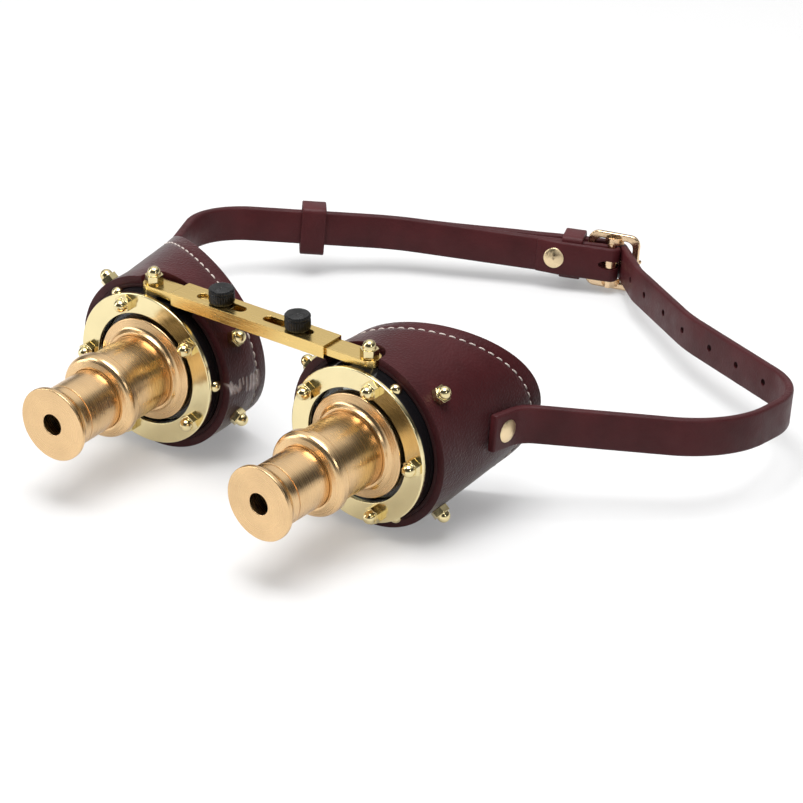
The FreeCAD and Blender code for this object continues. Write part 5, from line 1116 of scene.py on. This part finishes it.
def keeper(name, start, way, out, length, low, high, node, body, sag=0.0):
    """Loop round the straps: low and high are its inner faces along out."""
    wall = KEEPER_WALL / 2
    head = STRAP_WIDTH / 2 + SOFT_GAP + wall
    low, high, foot = low - wall, high + wall, -head - sag
    outline = rounded([(*spot, KEEPER_CORNER) for spot in
                       ((low, foot), (high, foot), (high, head), (low, head))], 6)
    way_round = unit(np.roll(outline, -1, 0) - np.roll(outline, 1, 0))
    out, way = in_model(out), in_model(way)
    line = to_model(start) + way * length / 2 + outline[:, :1] * out + outline[:, 1:] * plane_up
    normal = way_round[:, 1:] * out - way_round[:, :1] * plane_up
    points, faces = band(line, normal, way, KEEPER_WALL, length, KEEPER_ROUND, closed=True)
    piece(name, points, faces, Matrix.Scale(MM, 4), [strap_leather], body, node)


keeper("keeper_at_buckle", by_bar(FIXED_STATION, 0), AXIS, OUT, FIXED_LENGTH,
       bar_gap * (1 - FIXED_STATION / FOLD_TAPER) - GAP, FIXED_HIGH, "fixed_keeper", "bridge")
keeper("keeper_that_slides", last_bend + run_back * (LOOSE_STATION - LOOSE_LENGTH / 2), run_back,
       run_out, LOOSE_LENGTH, -STRAP_THICK / 2 - SOFT_GAP,
       STRAP_THICK / 2 + layer + SOFT_GAP + LOOSE_ROOM, "loose_keeper", "loose_keeper", LOOSE_SAG)

# %% [markdown]
# ### Straps baked in place
# The straps end under the rivets of the cups, and the cups slide on the bridge.

# %% Bake the straps
for strap, name, side in ((fold_strap, "right", -1), (tail, "left", 1)):
    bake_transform(strap)

# %% Ease the rivets
RIVETS = ("right_strap_rivet", "left_strap_rivet", "fold_rivet")
for node in RIVETS:
    eased_copy(node, node + "_cap", rivet_brass, 0.08)
print("rivets:", len(RIVETS))

# %% [markdown]
# ## Floor and light
# The floor is grey paper to the light that falls on it, and white to the camera, in reflections
# and through glass. The object is lit by one large soft lamp above, small ones from the left and
# the right, and a world that is bright low down and behind the object.

# %% Stage
FLOOR_HALF, FLOOR_DROP = 4.0, 0.0002
PAPER, PAPER_SEEN = (0.30, 0.30, 0.30), (0.57, 0.57, 0.57)
FLOOR_GLOW = 0.27
floor_mesh = bpy.data.meshes.new("floor")
floor_mesh.from_pydata([(x * FLOOR_HALF, y * FLOOR_HALF, 0)
                        for x, y in ((-1, -1), (1, -1), (1, 1), (-1, 1))], [], [(0, 1, 2, 3)])
floor = bpy.data.objects.new("floor", floor_mesh)
floor.location.z = -FLOOR_DROP
bpy.context.scene.collection.objects.link(floor)
paper = Finish("white_paper", PAPER, Roughness=0.8, Emission_Color=(1, 1, 1, 1))
rays = paper.add("ShaderNodeLightPath").outputs
seen = paper.reckon("MAXIMUM", rays["Is Camera Ray"], rays["Is Glossy Ray"])
seen = paper.reckon("MAXIMUM", seen, rays["Is Transmission Ray"])
paper.wire(paper.reckon("MULTIPLY", seen, FLOOR_GLOW), "Emission Strength")
paper.wire(paper.mix(seen, PAPER, PAPER_SEEN), "Base Color")
floor_mesh.materials.append(paper.material)
floor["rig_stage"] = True


def lamp(name, place, target, size, power):
    """Rectangular soft lamp at a place in metres, aimed at a target."""
    data = bpy.data.lights.new(name, "AREA")
    data.shape = "RECTANGLE"
    data.size, data.size_y = size
    data.energy = power
    made = bpy.data.objects.new(name, data)
    made.location = place
    made.rotation_euler = (Vector(target) - Vector(place)).to_track_quat("-Z", "Y").to_euler()
    bpy.context.scene.collection.objects.link(made)


lamp("overhead_softbox", (0.06, -0.12, 0.93), (0, 0, 0), (0.65, 0.55), 9.0)
lamp("left_strip", (-0.75, -0.55, 0.45), (0, -0.02, 0.02), (0.25, 0.8), 3.0)
lamp("right_fill", (0.85, -0.35, 0.5), (0, 0, 0.02), (0.12, 0.3), 0.8)

# Brightness by the height of a direction, and by its nearness to the backdrop behind the object.
# A share of 0 is straight away from it, 0.5 is square to it, and 1 is straight towards it.
LOW_SKY = [(0.50, 0.95), (0.54, 0.70), (0.58, 0.06)]
BACKDROP = [(0.70, 0.0), (0.82, 0.25), (0.90, 0.95), (1.0, 1.0)]
BACKDROP_RISE = 66.0
world = bpy.data.worlds.new("studio")
bpy.context.scene.world = world
world.use_nodes = True
studio = Nodes(world.node_tree)
direction = studio.add("ShaderNodeTexCoord").outputs["Generated"]
rise = math.radians(BACKDROP_RISE)
backdrop = (-math.sin(azimuth) * math.cos(rise), math.cos(azimuth) * math.cos(rise), math.sin(rise))


def sky(way, stops):
    """Brightness along a direction: a ramp over the cosine of the angle to it."""
    nearness = studio.add("ShaderNodeVectorMath", {0: direction, 1: way}, operation="DOT_PRODUCT")
    share = studio.add("ShaderNodeMapRange", {"Value": nearness.outputs["Value"],
                                              "From Min": -1.0}).outputs[0]
    ramp = studio.add("ShaderNodeValToRGB", {"Fac": share})
    bands = ramp.color_ramp.elements
    bands[0].position, bands[1].position = stops[0][0], stops[-1][0]
    for spot, _ in stops[1:-1]:
        bands.new(spot)
    for element, (_, level) in zip(bands, stops):
        element.color = (level, level, level, 1)
    return ramp.outputs["Color"]


light = studio.reckon("MAXIMUM", sky((0, 0, 1), LOW_SKY), sky(backdrop, BACKDROP))
studio.tree.links.new(light, studio.tree.nodes["Background"].inputs["Color"])
print("lamps:", len(bpy.data.lights))

# %% [markdown]
# ## Measure and finish
# The box round the dressed model is printed in millimetres.

# %% Print the sizes
low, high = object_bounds()
print("dressed box in mm:", [round(c / MM, 1) for c in high - low])
